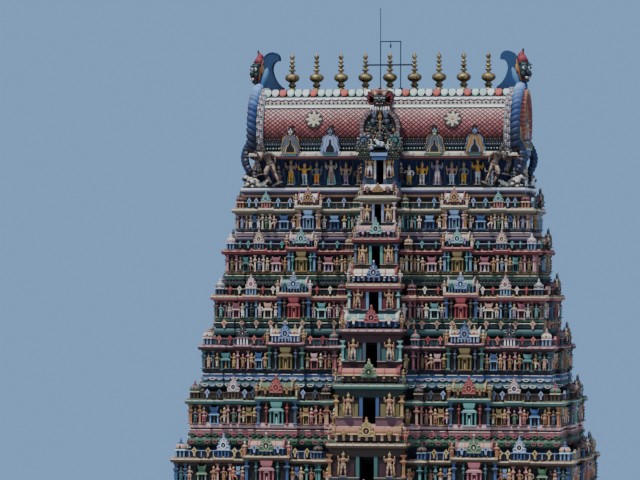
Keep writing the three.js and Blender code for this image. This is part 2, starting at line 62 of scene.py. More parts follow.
def setCamera():
    turn = radians(view["azimuth"])
    data = bpy.data.cameras.new("camera")
    data.lens = view["lens"]
    data.sensor_width = 36
    data.clip_end = 1000
    ob = bpy.data.objects.new("camera", data)
    bpy.context.collection.objects.link(ob)
    away = view["distance"] * modelScale
    ob.location = (away * sin(turn), -away * cos(turn), view["height"] * modelScale)
    aim = Euler((radians(90 + view["tiltUp"]), 0, turn + radians(view["turnLeft"]))).to_matrix()
    ob.rotation_euler = (aim @ Matrix.Rotation(radians(view["roll"]), 3, "Z")).to_euler()
    bpy.context.scene.camera = ob


light = {
    "backdrop": "#98c6ff",  # what the camera sees behind the tower
    "backdropStrength": 0.66,
    "sky": "#aac6f2",  # what lights the shadows
    "skyStrength": 0.5,
    "key": {"turn": -30, "height": 64, "strength": 4, "spread": 5, "tint": "#fdf6ee"},
    "fill": {"turn": 50, "height": 20, "strength": 0.72, "spread": 60, "tint": "#dfe8ff"},
    "floor": "#cfcdc7",
    "floorSize": 150,
}


def linear(colour):
    values = [int(colour[i : i + 2], 16) / 255 for i in (1, 3, 5)]
    return [v / 12.92 if v <= 0.04045 else ((v + 0.055) / 1.055) ** 2.4 for v in values]


def opaque(colour):
    return (*linear(colour), 1)


def setNode(tree, node, settings=None, links=None):
    # settings: socket name or property -> value; links: socket name -> (source node, its output)
    for key, value in (settings or {}).items():
        if key in node.inputs:
            node.inputs[key].default_value = value
        else:
            setattr(node, key, value)
    for key, (source, output) in (links or {}).items():
        tree.links.new(source.outputs[output], node.inputs[key])
    return node


def addNode(tree, kind, settings=None, links=None):
    return setNode(tree, tree.nodes.new(kind), settings, links)


multiply = {"data_type": "RGBA", "blend_type": "MULTIPLY", "Factor": 1}


def startMaterial(name):
    material = bpy.data.materials.new(name)
    material.use_nodes = True
    tree = material.node_tree
    tree.nodes.clear()
    shader = addNode(tree, "ShaderNodeBsdfPrincipled")
    addNode(tree, "ShaderNodeOutputMaterial", links={"Surface": (shader, 0)})
    return material, tree, shader


def setLights():
    world = bpy.data.worlds.new("studio")
    bpy.context.scene.world = world
    world.use_nodes = True
    tree = world.node_tree
    tree.nodes.clear()
    seen = addNode(tree, "ShaderNodeBackground",
        {"Color": opaque(light["backdrop"]), "Strength": light["backdropStrength"]})
    lit = addNode(tree, "ShaderNodeBackground",
        {"Color": opaque(light["sky"]), "Strength": light["skyStrength"]})
    path = addNode(tree, "ShaderNodeLightPath")
    blend = addNode(tree, "ShaderNodeMixShader",
        links={"Fac": (path, "Is Camera Ray"), 1: (lit, 0), 2: (seen, 0)})
    addNode(tree, "ShaderNodeOutputWorld", links={"Surface": (blend, 0)})
    for name in ("key", "fill"):
        lamp = light[name]
        data = bpy.data.lights.new(name, "SUN")
        data.energy = lamp["strength"]
        data.angle = radians(lamp["spread"])
        data.color = linear(lamp["tint"])
        ob = bpy.data.objects.new(name, data)
        ob.rotation_euler = (radians(90 - lamp["height"]), 0, radians(lamp["turn"]))
        bpy.context.collection.objects.link(ob)
    bpy.ops.mesh.primitive_plane_add(size=light["floorSize"])
    floor = bpy.context.object
    floor.name = "floor"
    material, tree, shader = startMaterial("plainFloor")
    setNode(tree, shader, {"Base Color": opaque(light["floor"]), "Roughness": 0.9})
    floor.data.materials.append(material)


setCamera()
setLights()
print("camera and lights set")

# Paints, as they look on weathered lime plaster

paint = {
    "white": "#eceeec", "cream": "#e0d5b8", "tan": "#bf9f78", "peach": "#d9a27c", "gold": "#c39a3f",
    "yellow": "#cdb455", "ochre": "#a97a2c", "orange": "#c4703a", "coral": "#cf6a56", "red": "#a63138",
    "crimson": "#7d2230", "maroon": "#43202c", "plum": "#4a3550", "pink": "#d6a3a4", "rose": "#b8616c",
    "mauve": "#8a5a68", "violet": "#54456f", "lilac": "#a79ac0", "lavender": "#8d9fcd", "sky": "#6b9ccb",
    "blue": "#2c5f9f", "navy": "#15203a", "slate": "#435a73", "aqua": "#9ccfc8", "turquoise": "#3fa39b",
    "teal": "#236f70", "deepTeal": "#153f45", "green": "#3a7a52", "sage": "#869f74", "bottle": "#17332c",
    "olive": "#83762e", "brown": "#5d4632", "umber": "#3a2c24", "grey": "#7d8388", "black": "#0d0e12",
    "skinGold": "#cf9f58", "skinTan": "#bf8559", "skinRose": "#cf947a", "skinBlue": "#6c84a2",
    "skinGreen": "#5f8a68", "skinPale": "#d9c7ab", "khaki": "#7a7358",
}
fade = {"grey": 0.32, "dark": 0.82}  # how far the sun has bleached every paint, and how dusty it is


def faded(colour):
    values = linear(colour)
    grey = sum(k * v for k, v in zip((0.21, 0.72, 0.07), values))
    return [(v + (grey - v) * fade["grey"]) * fade["dark"] for v in values]


linearPaint = {name: faded(value) for name, value in paint.items()}
# unfaded paints; brass, milk and bright on the neck figures' legs are partly painted light
linearPaint.update({"bright": linear("#d5dede"), "mint": linear("#93d3c4"), "vermilion": linear("#b5483e"),
    "oxblood": linear("#8a2f3a"), "brass": linear("#d8a23c"), "darkOlive": linear("#5a4a1c"),
    "milk": linear("#dcd6cc")})

# Painted lime plaster: a matt mineral ground under oil paint that has dulled. The paint of each part
# comes from the piece's own colour attribute, which also carries painted shade on undersides and painted
# light on tops; soot and rain streaks dirty it unevenly.
plasterLook = {
    "roughness": 0.62,
    "specular": 0.35,
    "dirtMm": 420,  # how far apart the dirty patches lie on the model
    "grainMm": 26,
    "dirt": "#3b3a36",
    "dirtMost": 0.34,
}


def paintedPlaster():
    material, tree, shader = startMaterial("dulled_oil_paint_on_lime_plaster")
    own = addNode(tree, "ShaderNodeAttribute", {"attribute_name": "paint"})
    place = (addNode(tree, "ShaderNodeTexCoord"), "Object")
    patches = addNode(tree, "ShaderNodeTexNoise",
        {"Scale": 1000 / plasterLook["dirtMm"], "Detail": 6, "Roughness": 0.65}, {"Vector": place})
    grain = addNode(tree, "ShaderNodeTexNoise", {"Scale": 1000 / plasterLook["grainMm"], "Detail": 3},
        {"Vector": place})
    amount = addNode(tree, "ShaderNodeMapRange",
        {"From Min": 0.42, "From Max": 0.78, "To Min": 0, "To Max": plasterLook["dirtMost"]},
        {"Value": (patches, "Fac")})
    dirty = addNode(tree, "ShaderNodeMix", {"data_type": "RGBA", "B": opaque(plasterLook["dirt"])},
        {"Factor": (amount, "Result"), "A": (own, "Color")})
    speckle = addNode(tree, "ShaderNodeMapRange",
        {"From Min": 0.3, "From Max": 0.7, "To Min": 0.93, "To Max": 1.06}, {"Value": (grain, "Fac")})
    toned = addNode(tree, "ShaderNodeMix", multiply, {"A": (dirty, "Result"), "B": (speckle, "Result")})
    bump = addNode(tree, "ShaderNodeBump", {"Strength": 0.25, "Distance": 0.006},
        {"Height": (grain, "Fac")})
    values = {"Roughness": plasterLook["roughness"], "Specular IOR Level": plasterLook["specular"]}
    setNode(tree, shader, values, {"Base Color": (toned, "Result"), "Normal": (bump, "Normal")})
    return material


plaster = paintedPlaster()


# Lime plaster of the plain walls behind the figures: a foot band below, a dark field above, and soot
# that runs down in long streaks. It shows as deep, nearly matt colour between the bright figures; where
# the field is near black, it is partly painted shade in the recesses behind them.
wallLook = {"roughness": 0.8, "streakMm": 140, "edgeMm": 3}


def wallPlaster(name, wall, foot, edgeZ):
    material, tree, shader = startMaterial(name)
    place = (addNode(tree, "ShaderNodeTexCoord"), "Object")
    height = addNode(tree, "ShaderNodeSeparateXYZ", links={"Vector": place})
    edge = wallLook["edgeMm"] / 1000
    above = addNode(tree, "ShaderNodeMapRange", {"From Min": edgeZ - edge, "From Max": edgeZ + edge},
        {"Value": (height, "Z")})
    drawn = addNode(tree, "ShaderNodeMapping", {"Scale": (1, 1, 0.12)}, {"Vector": place})
    streaks = addNode(tree, "ShaderNodeTexNoise", {"Scale": 1000 / wallLook["streakMm"], "Detail": 5},
        {"Vector": (drawn, "Vector")})
    field = addNode(tree, "ShaderNodeMix",
        {"data_type": "RGBA", "A": (*linearPaint[foot], 1), "B": (*linearPaint[wall], 1)},
        {"Factor": (above, "Result")})
    tone = addNode(tree, "ShaderNodeMapRange",
        {"From Min": 0.3, "From Max": 0.7, "To Min": 0.6, "To Max": 1.4}, {"Value": (streaks, "Fac")})
    toned = addNode(tree, "ShaderNodeMix", multiply, {"A": (field, "Result"), "B": (tone, "Result")})
    bump = addNode(tree, "ShaderNodeBump", {"Strength": 0.3, "Distance": 0.004},
        {"Height": (streaks, "Fac")})
    ends = {"Base Color": (toned, "Result"), "Normal": (bump, "Normal")}
    setNode(tree, shader, {"Roughness": wallLook["roughness"]}, ends)
    return material


def dressNode(name, material):
    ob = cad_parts[name]
    for place in ob.material_slots:
        place.material = material


# Tool functions. Each part starts as a primitive, is shaped in edit mode, and is kept as a pattern,
# which is then copied to its places with its own paints.

patterns = {}


def toMode(mode):
    if bpy.context.object.mode != mode:
        bpy.ops.object.mode_set(mode=mode)


def pickFaces(ob, test):
    toMode("OBJECT")
    for item in (*ob.data.vertices, *ob.data.edges):
        item.select = False
    for face in ob.data.polygons:
        face.select = test(face)
    toMode("EDIT")


def donePart(ob, tint=0, smooth=False):
    toMode("OBJECT")
    ob["tint"] = tint
    if smooth:
        ob.data.polygons.foreach_set("use_smooth", [True] * len(ob.data.polygons))
    return ob


def block(size, at, tint=0, top=(1, 1), turn=(0, 0, 0)):
    # a squared block, its top drawn in by the two numbers of top
    bpy.ops.mesh.primitive_cube_add(size=1, location=at, rotation=turn, scale=size)
    ob = bpy.context.object
    if top != (1, 1):
        pickFaces(ob, lambda face: face.normal.z > 0.9)
        above = ob.matrix_basis @ Vector((0, 0, 0.5))
        bpy.ops.transform.resize(value=(top[0], top[1], 1), center_override=above)
    return donePart(ob, tint)


def turned(rows, at=(0, 0, 0), sides=6, tint=0, square=False, smooth=False, flat=1):
    # rows of (radius, height, own tint) from the foot up, each extruded from the one below and scaled
    radius, height = rows[0][:2]
    start = pi / sides if square else 0
    grow = 1 / cos(pi / sides) if square else 1
    bpy.ops.mesh.primitive_circle_add(vertices=sides, radius=radius * grow, fill_type="NGON",
        rotation=(0, 0, start), location=(at[0], at[1], at[2] + height))
    ob = bpy.context.object
    toMode("EDIT")
    bpy.ops.mesh.select_all(action="SELECT")
    for row in rows[1:]:
        bpy.ops.mesh.extrude_region_move(TRANSFORM_OT_translate={"value": (0, 0, row[1] - height)})
        k = row[0] / radius
        bpy.ops.transform.resize(value=(k, k, 1), center_override=(at[0], at[1], at[2] + row[1]))
        radius, height = row[:2]
    bpy.ops.mesh.select_all(action="SELECT")
    if flat != 1:
        bpy.ops.transform.resize(value=(1, flat, 1), center_override=at)
    bpy.ops.mesh.normals_make_consistent(inside=False)
    toMode("OBJECT")
    donePart(ob, tint, smooth)
    if len(rows[-1]) > 2:
        mesh = ob.data
        marks = mesh.attributes.new("tint", "INT", "FACE")
        lift = rows[0][1]
        for face in mesh.polygons:
            reach = max(hypot(*mesh.vertices[v].co.xy) for v in face.vertices) / grow
            level = sum(mesh.vertices[v].co.z for v in face.vertices) / len(face.vertices) + lift
            near = min(range(1, len(rows)),
                key=lambda i: abs((rows[i][1] + rows[i - 1][1]) / 2 - level)
                + 0.3 * abs(max(rows[i][0], rows[i - 1][0]) - reach))
            marks.data[face.index].value = rows[near][2]
    return ob


def limb(start, end, r1, r2, tint=0, sides=5):
    start, end = Vector(start), Vector(end)
    run = end - start
    bpy.ops.mesh.primitive_cone_add(vertices=sides, radius1=r1, radius2=r2, depth=run.length,
        location=(start + end) / 2, rotation=run.to_track_quat("Z", "Y").to_euler())
    return donePart(bpy.context.object, tint, smooth=True)


def ball(radius, at, tint=0, squash=(1, 1, 1), segments=6, rings=4):
    bpy.ops.mesh.primitive_uv_sphere_add(segments=segments, ring_count=rings, radius=radius, location=at,
        scale=squash)
    return donePart(bpy.context.object, tint, smooth=True)


def panel(outline, back, front, tint=0, rim=0, sink=0, sinkTint=0):
    # an outline in (x, z) given body towards the front, with its middle sunk inside a rim
    mesh = bpy.data.meshes.new("panel")
    mesh.from_pydata([(x, back, z) for x, z in outline], [], [range(len(outline))])
    ob = bpy.data.objects.new("panel", mesh)
    bpy.context.collection.objects.link(ob)
    bpy.ops.object.select_all(action="DESELECT")
    ob.select_set(True)
    bpy.context.view_layer.objects.active = ob
    toMode("EDIT")
    bpy.ops.mesh.select_all(action="SELECT")
    bpy.ops.mesh.extrude_region_move(TRANSFORM_OT_translate={"value": (0, front - back, 0)})
    if rim:
        bpy.ops.mesh.inset(thickness=rim, depth=0)
        bpy.ops.mesh.extrude_region_move(TRANSFORM_OT_translate={"value": (0, sink, 0)})
    toMode("OBJECT")
    marks = mesh.attributes.new("tint", "INT", "FACE")
    for face in mesh.polygons:
        marks.data[face.index].value = sinkTint if rim and face.select else tint
    toMode("EDIT")
    bpy.ops.mesh.select_all(action="SELECT")
    bpy.ops.mesh.normals_make_consistent(inside=False)
    return donePart(ob, tint)


def arraysOf(ob):
    mesh = ob.data
    co = np.empty(len(mesh.vertices) * 3)
    mesh.vertices.foreach_get("co", co)
    move = np.array(ob.matrix_basis)
    co = co.reshape(-1, 3) @ move[:3, :3].T + move[:3, 3]
    corners = np.empty(len(mesh.loops), int)
    mesh.loops.foreach_get("vertex_index", corners)
    counts = np.empty(len(mesh.polygons), int)
    mesh.polygons.foreach_get("loop_total", counts)
    tints = np.full(len(counts), ob.get("tint", 0))
    if "tint" in mesh.attributes:
        mesh.attributes["tint"].data.foreach_get("value", tints)
    smooth = np.empty(len(counts), bool)
    mesh.polygons.foreach_get("use_smooth", smooth)
    return co, corners, counts, tints, smooth


def keepPattern(name, parts):
    stores = [[], [], [], [], []]
    offset = 0
    for ob in parts:
        co, corners, counts, tints, smooth = arraysOf(ob)
        for store, values in zip(stores, (co, corners + offset, counts, tints, smooth)):
            store.append(values)
        offset += len(co)
        bpy.data.objects.remove(ob, do_unlink=True)
    storePattern(name, *[np.concatenate(values) for values in stores])


def storePattern(name, co, corners, counts, tints, smooth):
    starts = np.concatenate([[0], np.cumsum(counts)[:-1]])
    a, b, c = (co[corners[starts + i]] for i in range(3))
    normals = np.cross(b - a, c - a)
    normals /= np.linalg.norm(normals, axis=1, keepdims=True) + 1e-12
    order = np.concatenate([np.arange(s, s + n)[::-1] for s, n in zip(starts, counts)])
    patterns[name] = {"co": co, "corners": corners, "mirrored": corners[order], "counts": counts,
        "tints": tints, "smooth": smooth, "normals": normals}


# What is laid ready for the next piece: pattern, place and paints of each copy.
pile = []


def lay(name, move, paints):
    pile.append((name, np.array(move), paints.split() if isinstance(paints, str) else paints))


def spin(angle, axis="Z"):
    return Matrix.Rotation(radians(angle), 4, axis)


def stand(name, u, out, z, side, size, paints, turn=0, lean=0, tip=0):
    # u runs along a face of the tower and out away from its middle; side 0 is the front, 1 the right.
    # turn is about the upright, lean is backwards onto a slope, tip is sideways.
    sx, sy, sz = size if isinstance(size, tuple) else (size, size, size)
    move = spin(90 * side) @ Matrix.Translation((u, -out, z))
    move = move @ spin(turn) @ spin(-lean, "X") @ spin(tip, "Y") @ Matrix.Diagonal((sx, sy, sz, 1))
    lay(name, move, paints)


# How much a piece's copies differ in tone, how dark their undersides are painted as painted shade,
# and how much their tops are painted paler as painted light.
shadeAndToneLook = {"spread": 0.07, "leastTone": 0.75, "mostTone": 1.2, "under": 0.35, "topLight": 0.10, "pale": 0.62}


def makePiece(name, nodes=(), material=None, paintedShading=1):
    # copies each pattern to its places and joins them, with the paint as a colour attribute that also
    # holds painted shade on undersides and painted light on tops
    w = shadeAndToneLook
    rng = np.random.default_rng(len(name) + 11)
    byPattern = {}
    for pattern, move, paints in pile:
        byPattern.setdefault(pattern, []).append((move, paints))
    pile.clear()
    points, corners, counts, smooth, colours = [], [], [], [], []
    offset = 0
    for pattern, copies in byPattern.items():
        p = patterns[pattern]
        moves = np.stack([move for move, paints in copies])
        co = np.einsum("kij,nj->kni", moves[:, :3, :3], p["co"]) + moves[:, None, :3, 3]
        flips = np.linalg.det(moves[:, :3, :3]) < 0
        loop = np.where(flips[:, None], p["mirrored"][None], p["corners"][None])
        loop = loop + (offset + np.arange(len(copies)) * len(p["co"]))[:, None]
        offset += co.shape[0] * co.shape[1]
        up = np.einsum("kij,nj->kni", moves[:, :3, :3], p["normals"])
        up = up[:, :, 2] / (np.linalg.norm(up, axis=2) + 1e-9)
        top = int(p["tints"].max()) + 1
        table = np.array([[linearPaint[paints[min(i, len(paints) - 1)]] for i in range(top)]
            for move, paints in copies])
        tone = rng.normal(1, w["spread"], (len(copies), 1, 1)).clip(w["leastTone"], w["mostTone"])
        colour = table[:, p["tints"]] * tone
        # undersides darkened as painted shade, tops paled towards grey as painted light
        under = np.clip(-up, 0, 1)[:, :, None] * w["under"] * paintedShading
        paintedTopLight = np.clip(up, 0, 1)[:, :, None] * w["topLight"] * paintedShading
        colour = colour * (1 - under) * (1 - paintedTopLight) + w["pale"] * paintedTopLight
        points.append(co.reshape(-1, 3))
        corners.append(loop.ravel())
        counts.append(np.tile(p["counts"], len(copies)))
        smooth.append(np.tile(p["smooth"], len(copies)))
        colours.append(colour.reshape(-1, 3))
    points = np.concatenate(points) * modelScale
    corners, counts, smooth = np.concatenate(corners), np.concatenate(counts), np.concatenate(smooth)
    colours = np.concatenate(colours)
    mesh = bpy.data.meshes.new(name)
    mesh.vertices.add(len(points))
    mesh.vertices.foreach_set("co", points.ravel())
    mesh.loops.add(len(corners))
    mesh.loops.foreach_set("vertex_index", corners.astype(np.int32))
    mesh.polygons.add(len(counts))
    mesh.polygons.foreach_set("loop_start", np.concatenate([[0], np.cumsum(counts)[:-1]]).astype(np.int32))
    mesh.polygons.foreach_set("use_smooth", smooth)
    mesh.update(calc_edges=True)
    rgba = np.ones((len(corners), 4), np.float32)
    rgba[:, :3] = np.repeat(colours, counts, axis=0)
    own = mesh.color_attributes.new("paint", "FLOAT_COLOR", "CORNER")
    own.data.foreach_set("color", rgba.ravel())
    mesh.materials.append(material or plaster)
    ob = bpy.data.objects.new(name, mesh)
    bpy.context.collection.objects.link(ob)
    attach(ob, "root")
    if nodes:
        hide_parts(*nodes)
    print(name, sum(counts - 2), "triangles")


# Figures

# Heights and widths of a standing figure that is 1 high with its foot block and crown.
body = {
    "foot": 0.06, "knee": 0.26, "hip": 0.45, "waist": 0.54, "chest": 0.66, "shoulder": 0.73,
    "head": 0.805, "stance": 0.062, "shoulders": 0.125,
}
# Paints in order: skin, cloth, gilding, foot block, sash or drape.


def makeLegs(feet, sway, bare):
    # bare legs are in the sash's paint below the knee
    b = body
    parts = []
    for (x, lift), way in zip(feet, (-1, 1)):
        bent = 1 if lift else 0
        knee = (x * 0.9 + way * 0.05 * bent, -0.02 - 0.08 * bent, b["knee"] + lift)
        parts.append(limb((x, 0, b["foot"] + lift * 0.6), knee, 0.032, 0.044, 4 if bare else 1, 5))
        parts.append(limb(knee, (way * 0.05 + sway, 0, b["hip"]), 0.046, 0.066, 1, 5))
        parts.append(ball(0.045, (x, -0.03, b["foot"] + lift * 0.6), 0, (0.8, 1.4, 0.6), 5, 3))
    return parts


def figure(name, arms, feet=None, sway=0, club=None, seat=False, tall=0.13, drape=False, bare=False):
    b = body
    feet = feet or [(-b["stance"], 0), (b["stance"], 0)]
    parts = [turned([(0.17, 0), (0.2, 0.025), (0.15, 0.06)], sides=6, tint=3)]
    drop = 0.3 if seat else 0
    if seat:
        parts.append(block((0.34, 0.2, 0.11), (0, -0.01, 0.115), 1, top=(0.7, 0.8)))
        parts += [limb((w * 0.17, -0.02, 0.12), (w * -0.05, -0.12, 0.11), 0.055, 0.04, 1) for w in (-1, 1)]
    else:
        parts += makeLegs(feet, sway, bare)
    if drape:
        parts.append(panel([(-0.19, 0.05), (0.19, 0.05), (0.15, 0.3), (0.1, 0.48), (-0.1, 0.48),
            (-0.15, 0.3)], 0.08, 0.04, 4))
    elif not (seat or bare):
        parts.append(block((0.045, 0.03, 0.28), (sway * 0.5, -0.075, 0.3), 4, top=(1.2, 1)))
    joints = ("hip", "waist", "chest", "shoulder", "head")
    hip, waist, chest, shoulder, head = (b[key] - drop for key in joints)
    parts.append(turned([(0.115, hip - 0.03, 1), (0.13, hip + 0.02, 1), (0.132, hip + 0.045, 2),
        (0.085, waist, 0), (0.12, chest, 0), (0.128, shoulder - 0.02, 0), (0.05, shoulder + 0.02, 2)],
        at=(sway, 0, 0), sides=6, flat=0.68, smooth=True))
    parts.append(block((0.13, 0.03, 0.03), (sway, -0.09, chest + 0.02), 2))
    parts.append(ball(0.062, (sway * 0.6, -0.01, head), 0, (0.92, 1, 1.15)))
    parts.append(turned([(0.068, head + 0.03), (0.078, head + 0.05), (0.055, head + 0.1),
        (0.015, head + 0.05 + tall)], at=(sway * 0.6, 0, 0), sides=6, tint=2))
    for elbow, hand in arms:
        way = 1 if elbow[0] > 0 else -1
        joint = (way * b["shoulders"] + sway, 0, shoulder - 0.04)
        elbow = (elbow[0] + sway, elbow[1], elbow[2] - drop)
        hand = (hand[0] + sway, hand[1], hand[2] - drop)
        parts.append(limb(joint, elbow, 0.042, 0.034, 0, 4))
        parts.append(limb(elbow, hand, 0.034, 0.026, 0, 4))
        parts.append(ball(0.032, hand, 2, segments=4, rings=3))
    if club:
        parts.append(limb(*club, 0.055, 0.026, 2, 5))
    keepPattern(name, parts)


def makeFigures():
    low = ((0.2, 0, 0.57), (0.16, -0.08, 0.46))
    raised = ((0.22, 0, 0.64), (0.21, -0.04, 0.79))
    blessing = ((0.18, 0, 0.58), (0.13, -0.13, 0.65))
    wide = ((0.23, 0.02, 0.68), (0.25, 0, 0.84))

    def left(arm):
        return tuple((-x, y, z) for x, y, z in arm)

    folded = ((0.17, -0.03, 0.58), (0.02, -0.13, 0.64))
    figure("standing", [low, left(blessing)])
    figure("fourArmed", [low, left(low), raised, left(raised)], tall=0.15)
    figure("praying", [folded, left(folded)])
    figure("dancing", [raised, left(low)], feet=[(-0.05, 0), (0.16, 0.1)], sway=-0.03)
    figure("bearer", [wide, left(wide)], sway=0.02, tall=0.1)
    figure("seated", [blessing, left(low)], seat=True)
    figure("idol", [blessing, left(blessing), raised, left(raised)], drape=True, tall=0.15)
    figure("guardian", [low, left(blessing), raised, left(raised)], feet=[(-0.1, 0), (0.09, 0)], sway=-0.01,
        club=((0.2, -0.06, 0.08), (0.16, -0.06, 0.5)), tall=0.15, bare=True)


makeFigures()
print("figures ready")

# Small architecture


def bothWays(half):
    # an outline from its right half, which starts at the tip and ends at the foot
    return [(-x, z) for x, z in half[::-1] if x > 0] + half


def roundOutline(radius, centre, count):
    return [(radius * cos(t), centre + radius * sin(t)) for t in np.linspace(0, 2 * pi, count + 1)[:-1]]


# Right halves of the two leaf-shaped gables, from the tip down.
leafCrown = [
    (0, 1), (0.06, 0.94), (0.1, 0.86), (0.07, 0.79), (0.19, 0.75), (0.25, 0.66), (0.2, 0.6), (0.34, 0.54),
    (0.41, 0.42), (0.36, 0.35), (0.5, 0.24), (0.48, 0.08), (0.38, 0),
]
stalkLeaf = [(0, 1), (0.14, 0.86), (0.38, 0.72), (0.5, 0.58), (0.36, 0.46), (0.18, 0.4), (0.15, 0)]


def makeSmallParts():
    # a slim square pilaster, 1 high, with a wide bracket at two thirds: shaft 0, base and capital 1
    keepPattern("pilaster", [turned([(0.085, 0, 1), (0.085, 0.06, 1), (0.055, 0.09, 1), (0.052, 0.58, 0),
        (0.045, 0.6, 1), (0.075, 0.64, 1), (0.13, 0.69, 1), (0.13, 0.73, 1), (0.05, 0.76, 0),
        (0.05, 0.88, 0), (0.1, 0.94, 1), (0.12, 1, 1)], sides=4, square=True)])
    # a turned baluster: a thin shaft under a pot, a plate and a knob
    keepPattern("baluster", [turned([(0.08, 0), (0.1, 0.04), (0.04, 0.09), (0.032, 0.46), (0.07, 0.52),
        (0.095, 0.6), (0.05, 0.67), (0.12, 0.72), (0.11, 0.77), (0.04, 0.81), (0.075, 0.88), (0.03, 0.94),
        (0.07, 1)], sides=6, smooth=True)])
    # a short post, and a thin rail
    keepPattern("post", [block((0.09, 0.07, 1), (0, 0, 0.5), 0, top=(0.8, 1))])
    keepPattern("rail", [block((1, 1, 1), (0, 0, 0.5), 0)])
    # a little leaf-shaped gable on a stalk: leaf 0, heart 1
    keepPattern("smallNasi", [panel(bothWays(stalkLeaf), 0.22, -0.12, 0),
        panel([(0, 0.48), (0.16, 0.62), (0, 0.76), (-0.16, 0.62)], 0, -0.2, 1)])
    # the large one, a crown of leaves round a ring: leaves 0, ring 1, opening 2, knob 3
    leaves = []
    for i in range(7):
        t = radians(-14 + i * 34.7)
        root = (cos(t) * 0.24, -0.05, 0.32 + sin(t) * 0.24)
        tip = (cos(t) * 0.43, -0.05, 0.33 + sin(t) * 0.38)
        leaves.append(limb(root, tip, 0.05, 0.02, 3 if i % 2 else 1, 4))
    keepPattern("nasi", leaves + [panel(bothWays(leafCrown), 0.18, -0.03, 0),
        panel(roundOutline(0.25, 0.31, 12), 0.1, -0.11, 1, rim=0.07, sink=0.06, sinkTint=2),
        panel(roundOutline(0.1, 0.68, 8), 0.1, -0.08, 1, rim=0.035, sink=0.03, sinkTint=2),
        ball(0.075, (0, -0.08, 0.28), 3, (1, 1, 1.4), segments=5, rings=3),
        ball(0.075, (0, 0.05, 1), 3, (1, 1, 1.2), segments=6, rings=4),
        block((0.9, 0.24, 0.07), (0, 0.04, 0.035), 1)])
    # a wall shrine, 1 wide and 1 high, like a T: body 0, posts 1, niche 2, its small figure 3
    keepPattern("shrine", [block((0.82, 0.16, 0.05), (0, -0.03, 0.025), 1),
        *[block((0.12, 0.12, 0.46), (x, -0.04, 0.28), 1) for x in (-0.34, 0.34)],
        block((0.6, 0.04, 0.46), (0, 0.03, 0.28), 2),
        block((0.2, 0.08, 0.3), (0, -0.01, 0.2), 3, top=(0.5, 0.6)),
        ball(0.08, (0, -0.02, 0.4), 3, segments=5, rings=3),
        block((1, 0.22, 0.07), (0, -0.05, 0.54), 1, top=(0.9, 0.9)),
        block((0.9, 0.2, 0.08), (0, -0.05, 0.615), 0, top=(0.7, 0.9)),
        block((0.52, 0.16, 0.12), (0, -0.03, 0.7), 0),
        block((0.62, 0.2, 0.2), (0, -0.05, 0.85), 0, top=(1.24, 1.1)),
        *[block((0.14, 0.12, 0.08), (x, -0.05, 0.98), 1, top=(0.4, 1)) for x in (-0.33, 0.33)]])
    # the broad shrine of a middle bay, 1 wide and 1 high: body 0, posts 1, slots 2, figure 3
    keepPattern("bigShrine", [block((0.94, 0.18, 0.05), (0, -0.03, 0.025), 1),
        *[block((0.09, 0.12, 0.54), (x, -0.05, 0.32), 0) for x in (-0.4, -0.15, 0.15, 0.4)],
        block((0.86, 0.04, 0.54), (0, 0.03, 0.32), 2),
        block((0.14, 0.1, 0.3), (0, -0.03, 0.2), 3, top=(0.5, 0.6)),
        panel([(-0.2, 0.5), (0.2, 0.5), (0, 0.64)], 0, -0.14, 1),
        block((1.04, 0.24, 0.07), (0, -0.06, 0.62), 0, top=(0.92, 0.9)),
        block((0.8, 0.2, 0.05), (0, -0.05, 0.68), 1), block((0.56, 0.18, 0.1), (0, -0.04, 0.75), 0),
        block((0.66, 0.22, 0.2), (0, -0.06, 0.9), 0, top=(1.2, 1.1))])
    # a square domed pavilion: posts 0, eave 1, dome 2, ribs and knob 3, core 4
    keepPattern("kuta", [block((0.66, 0.66, 0.36), (0, 0, 0.18), 4),
        *[block((0.14, 0.14, 0.38), (x * 0.33, y * 0.33, 0.19), 0) for x in (-1, 0, 1) for y in (-1, 0, 1)
            if x or y],
        block((1, 1, 0.08), (0, 0, 0.42), 1, top=(0.84, 0.84)),
        turned([(0.33, 0.45, 2), (0.46, 0.53, 2), (0.46, 0.62, 2), (0.34, 0.74, 2), (0.14, 0.81, 3),
            (0.2, 0.85, 3), (0.06, 0.9, 3), (0.1, 0.96, 3), (0.012, 1.14, 3)], sides=8, square=True),
        *[block((0.24, 0.08, 0.24), (0.42 * sin(a), -0.42 * cos(a), 0.58), 3, top=(0.3, 1), turn=(0, 0, a))
            for a in (0, pi / 2, pi, -pi / 2)]])
    # a barrel roofed pavilion, 1 long: posts 0, eave 1, roof 2, ribs and ends 3, core 4
    barrel = [(0.3 * cos(t), 0.58 + 0.32 * sin(t)) for t in np.linspace(-0.35, pi + 0.35, 9)]
    roof = panel(barrel, -0.5, 0.5, 2)
    roof.rotation_euler = (0, 0, pi / 2)
    ends = []
    for way in (-1, 1):
        end = panel([(x * 1.2, 0.5 + (z - 0.5) * 1.2) for x, z in barrel], -0.02, 0.03, 3, rim=0.07,
            sink=0.02, sinkTint=4)
        end.rotation_euler = (0, 0, -way * pi / 2 + pi)
        end.location = (way * 0.5, 0, 0)
        ends += [end, limb((way * 0.48, 0, 0.92), (way * 0.54, 0, 1.16), 0.05, 0.012, 3, 4)]
    ribs = []
    for i in (-1, 1):
        rib = panel([(x * 1.05, 0.55 + (z - 0.55) * 1.05) for x, z in barrel], -0.01, 0.01, 3)
        rib.rotation_euler = (0, 0, pi / 2)
        rib.location = (i * 0.26, 0, 0)
        ribs.append(rib)
    keepPattern("hall", [block((0.94, 0.44, 0.4), (0, 0, 0.2), 4),
        *[block((0.04, 0.5, 0.4), (-0.46 + i * 0.115, 0, 0.2), 0) for i in range(9)],
        block((1.05, 0.68, 0.09), (0, 0, 0.44), 1, top=(0.96, 0.84)), roof, *ends, *ribs])
    # on an eave's roll: a long raised dash, and a flame-shaped crest
    keepPattern("dash", [block((1, 0.05, 0.05), (0, 0, 0), 0, top=(0.9, 0.4))])
    keepPattern("crest", [panel(bothWays([(0, 1), (0.3, 0.55), (0.5, 0)]), 0.25, -0.2, 0)])
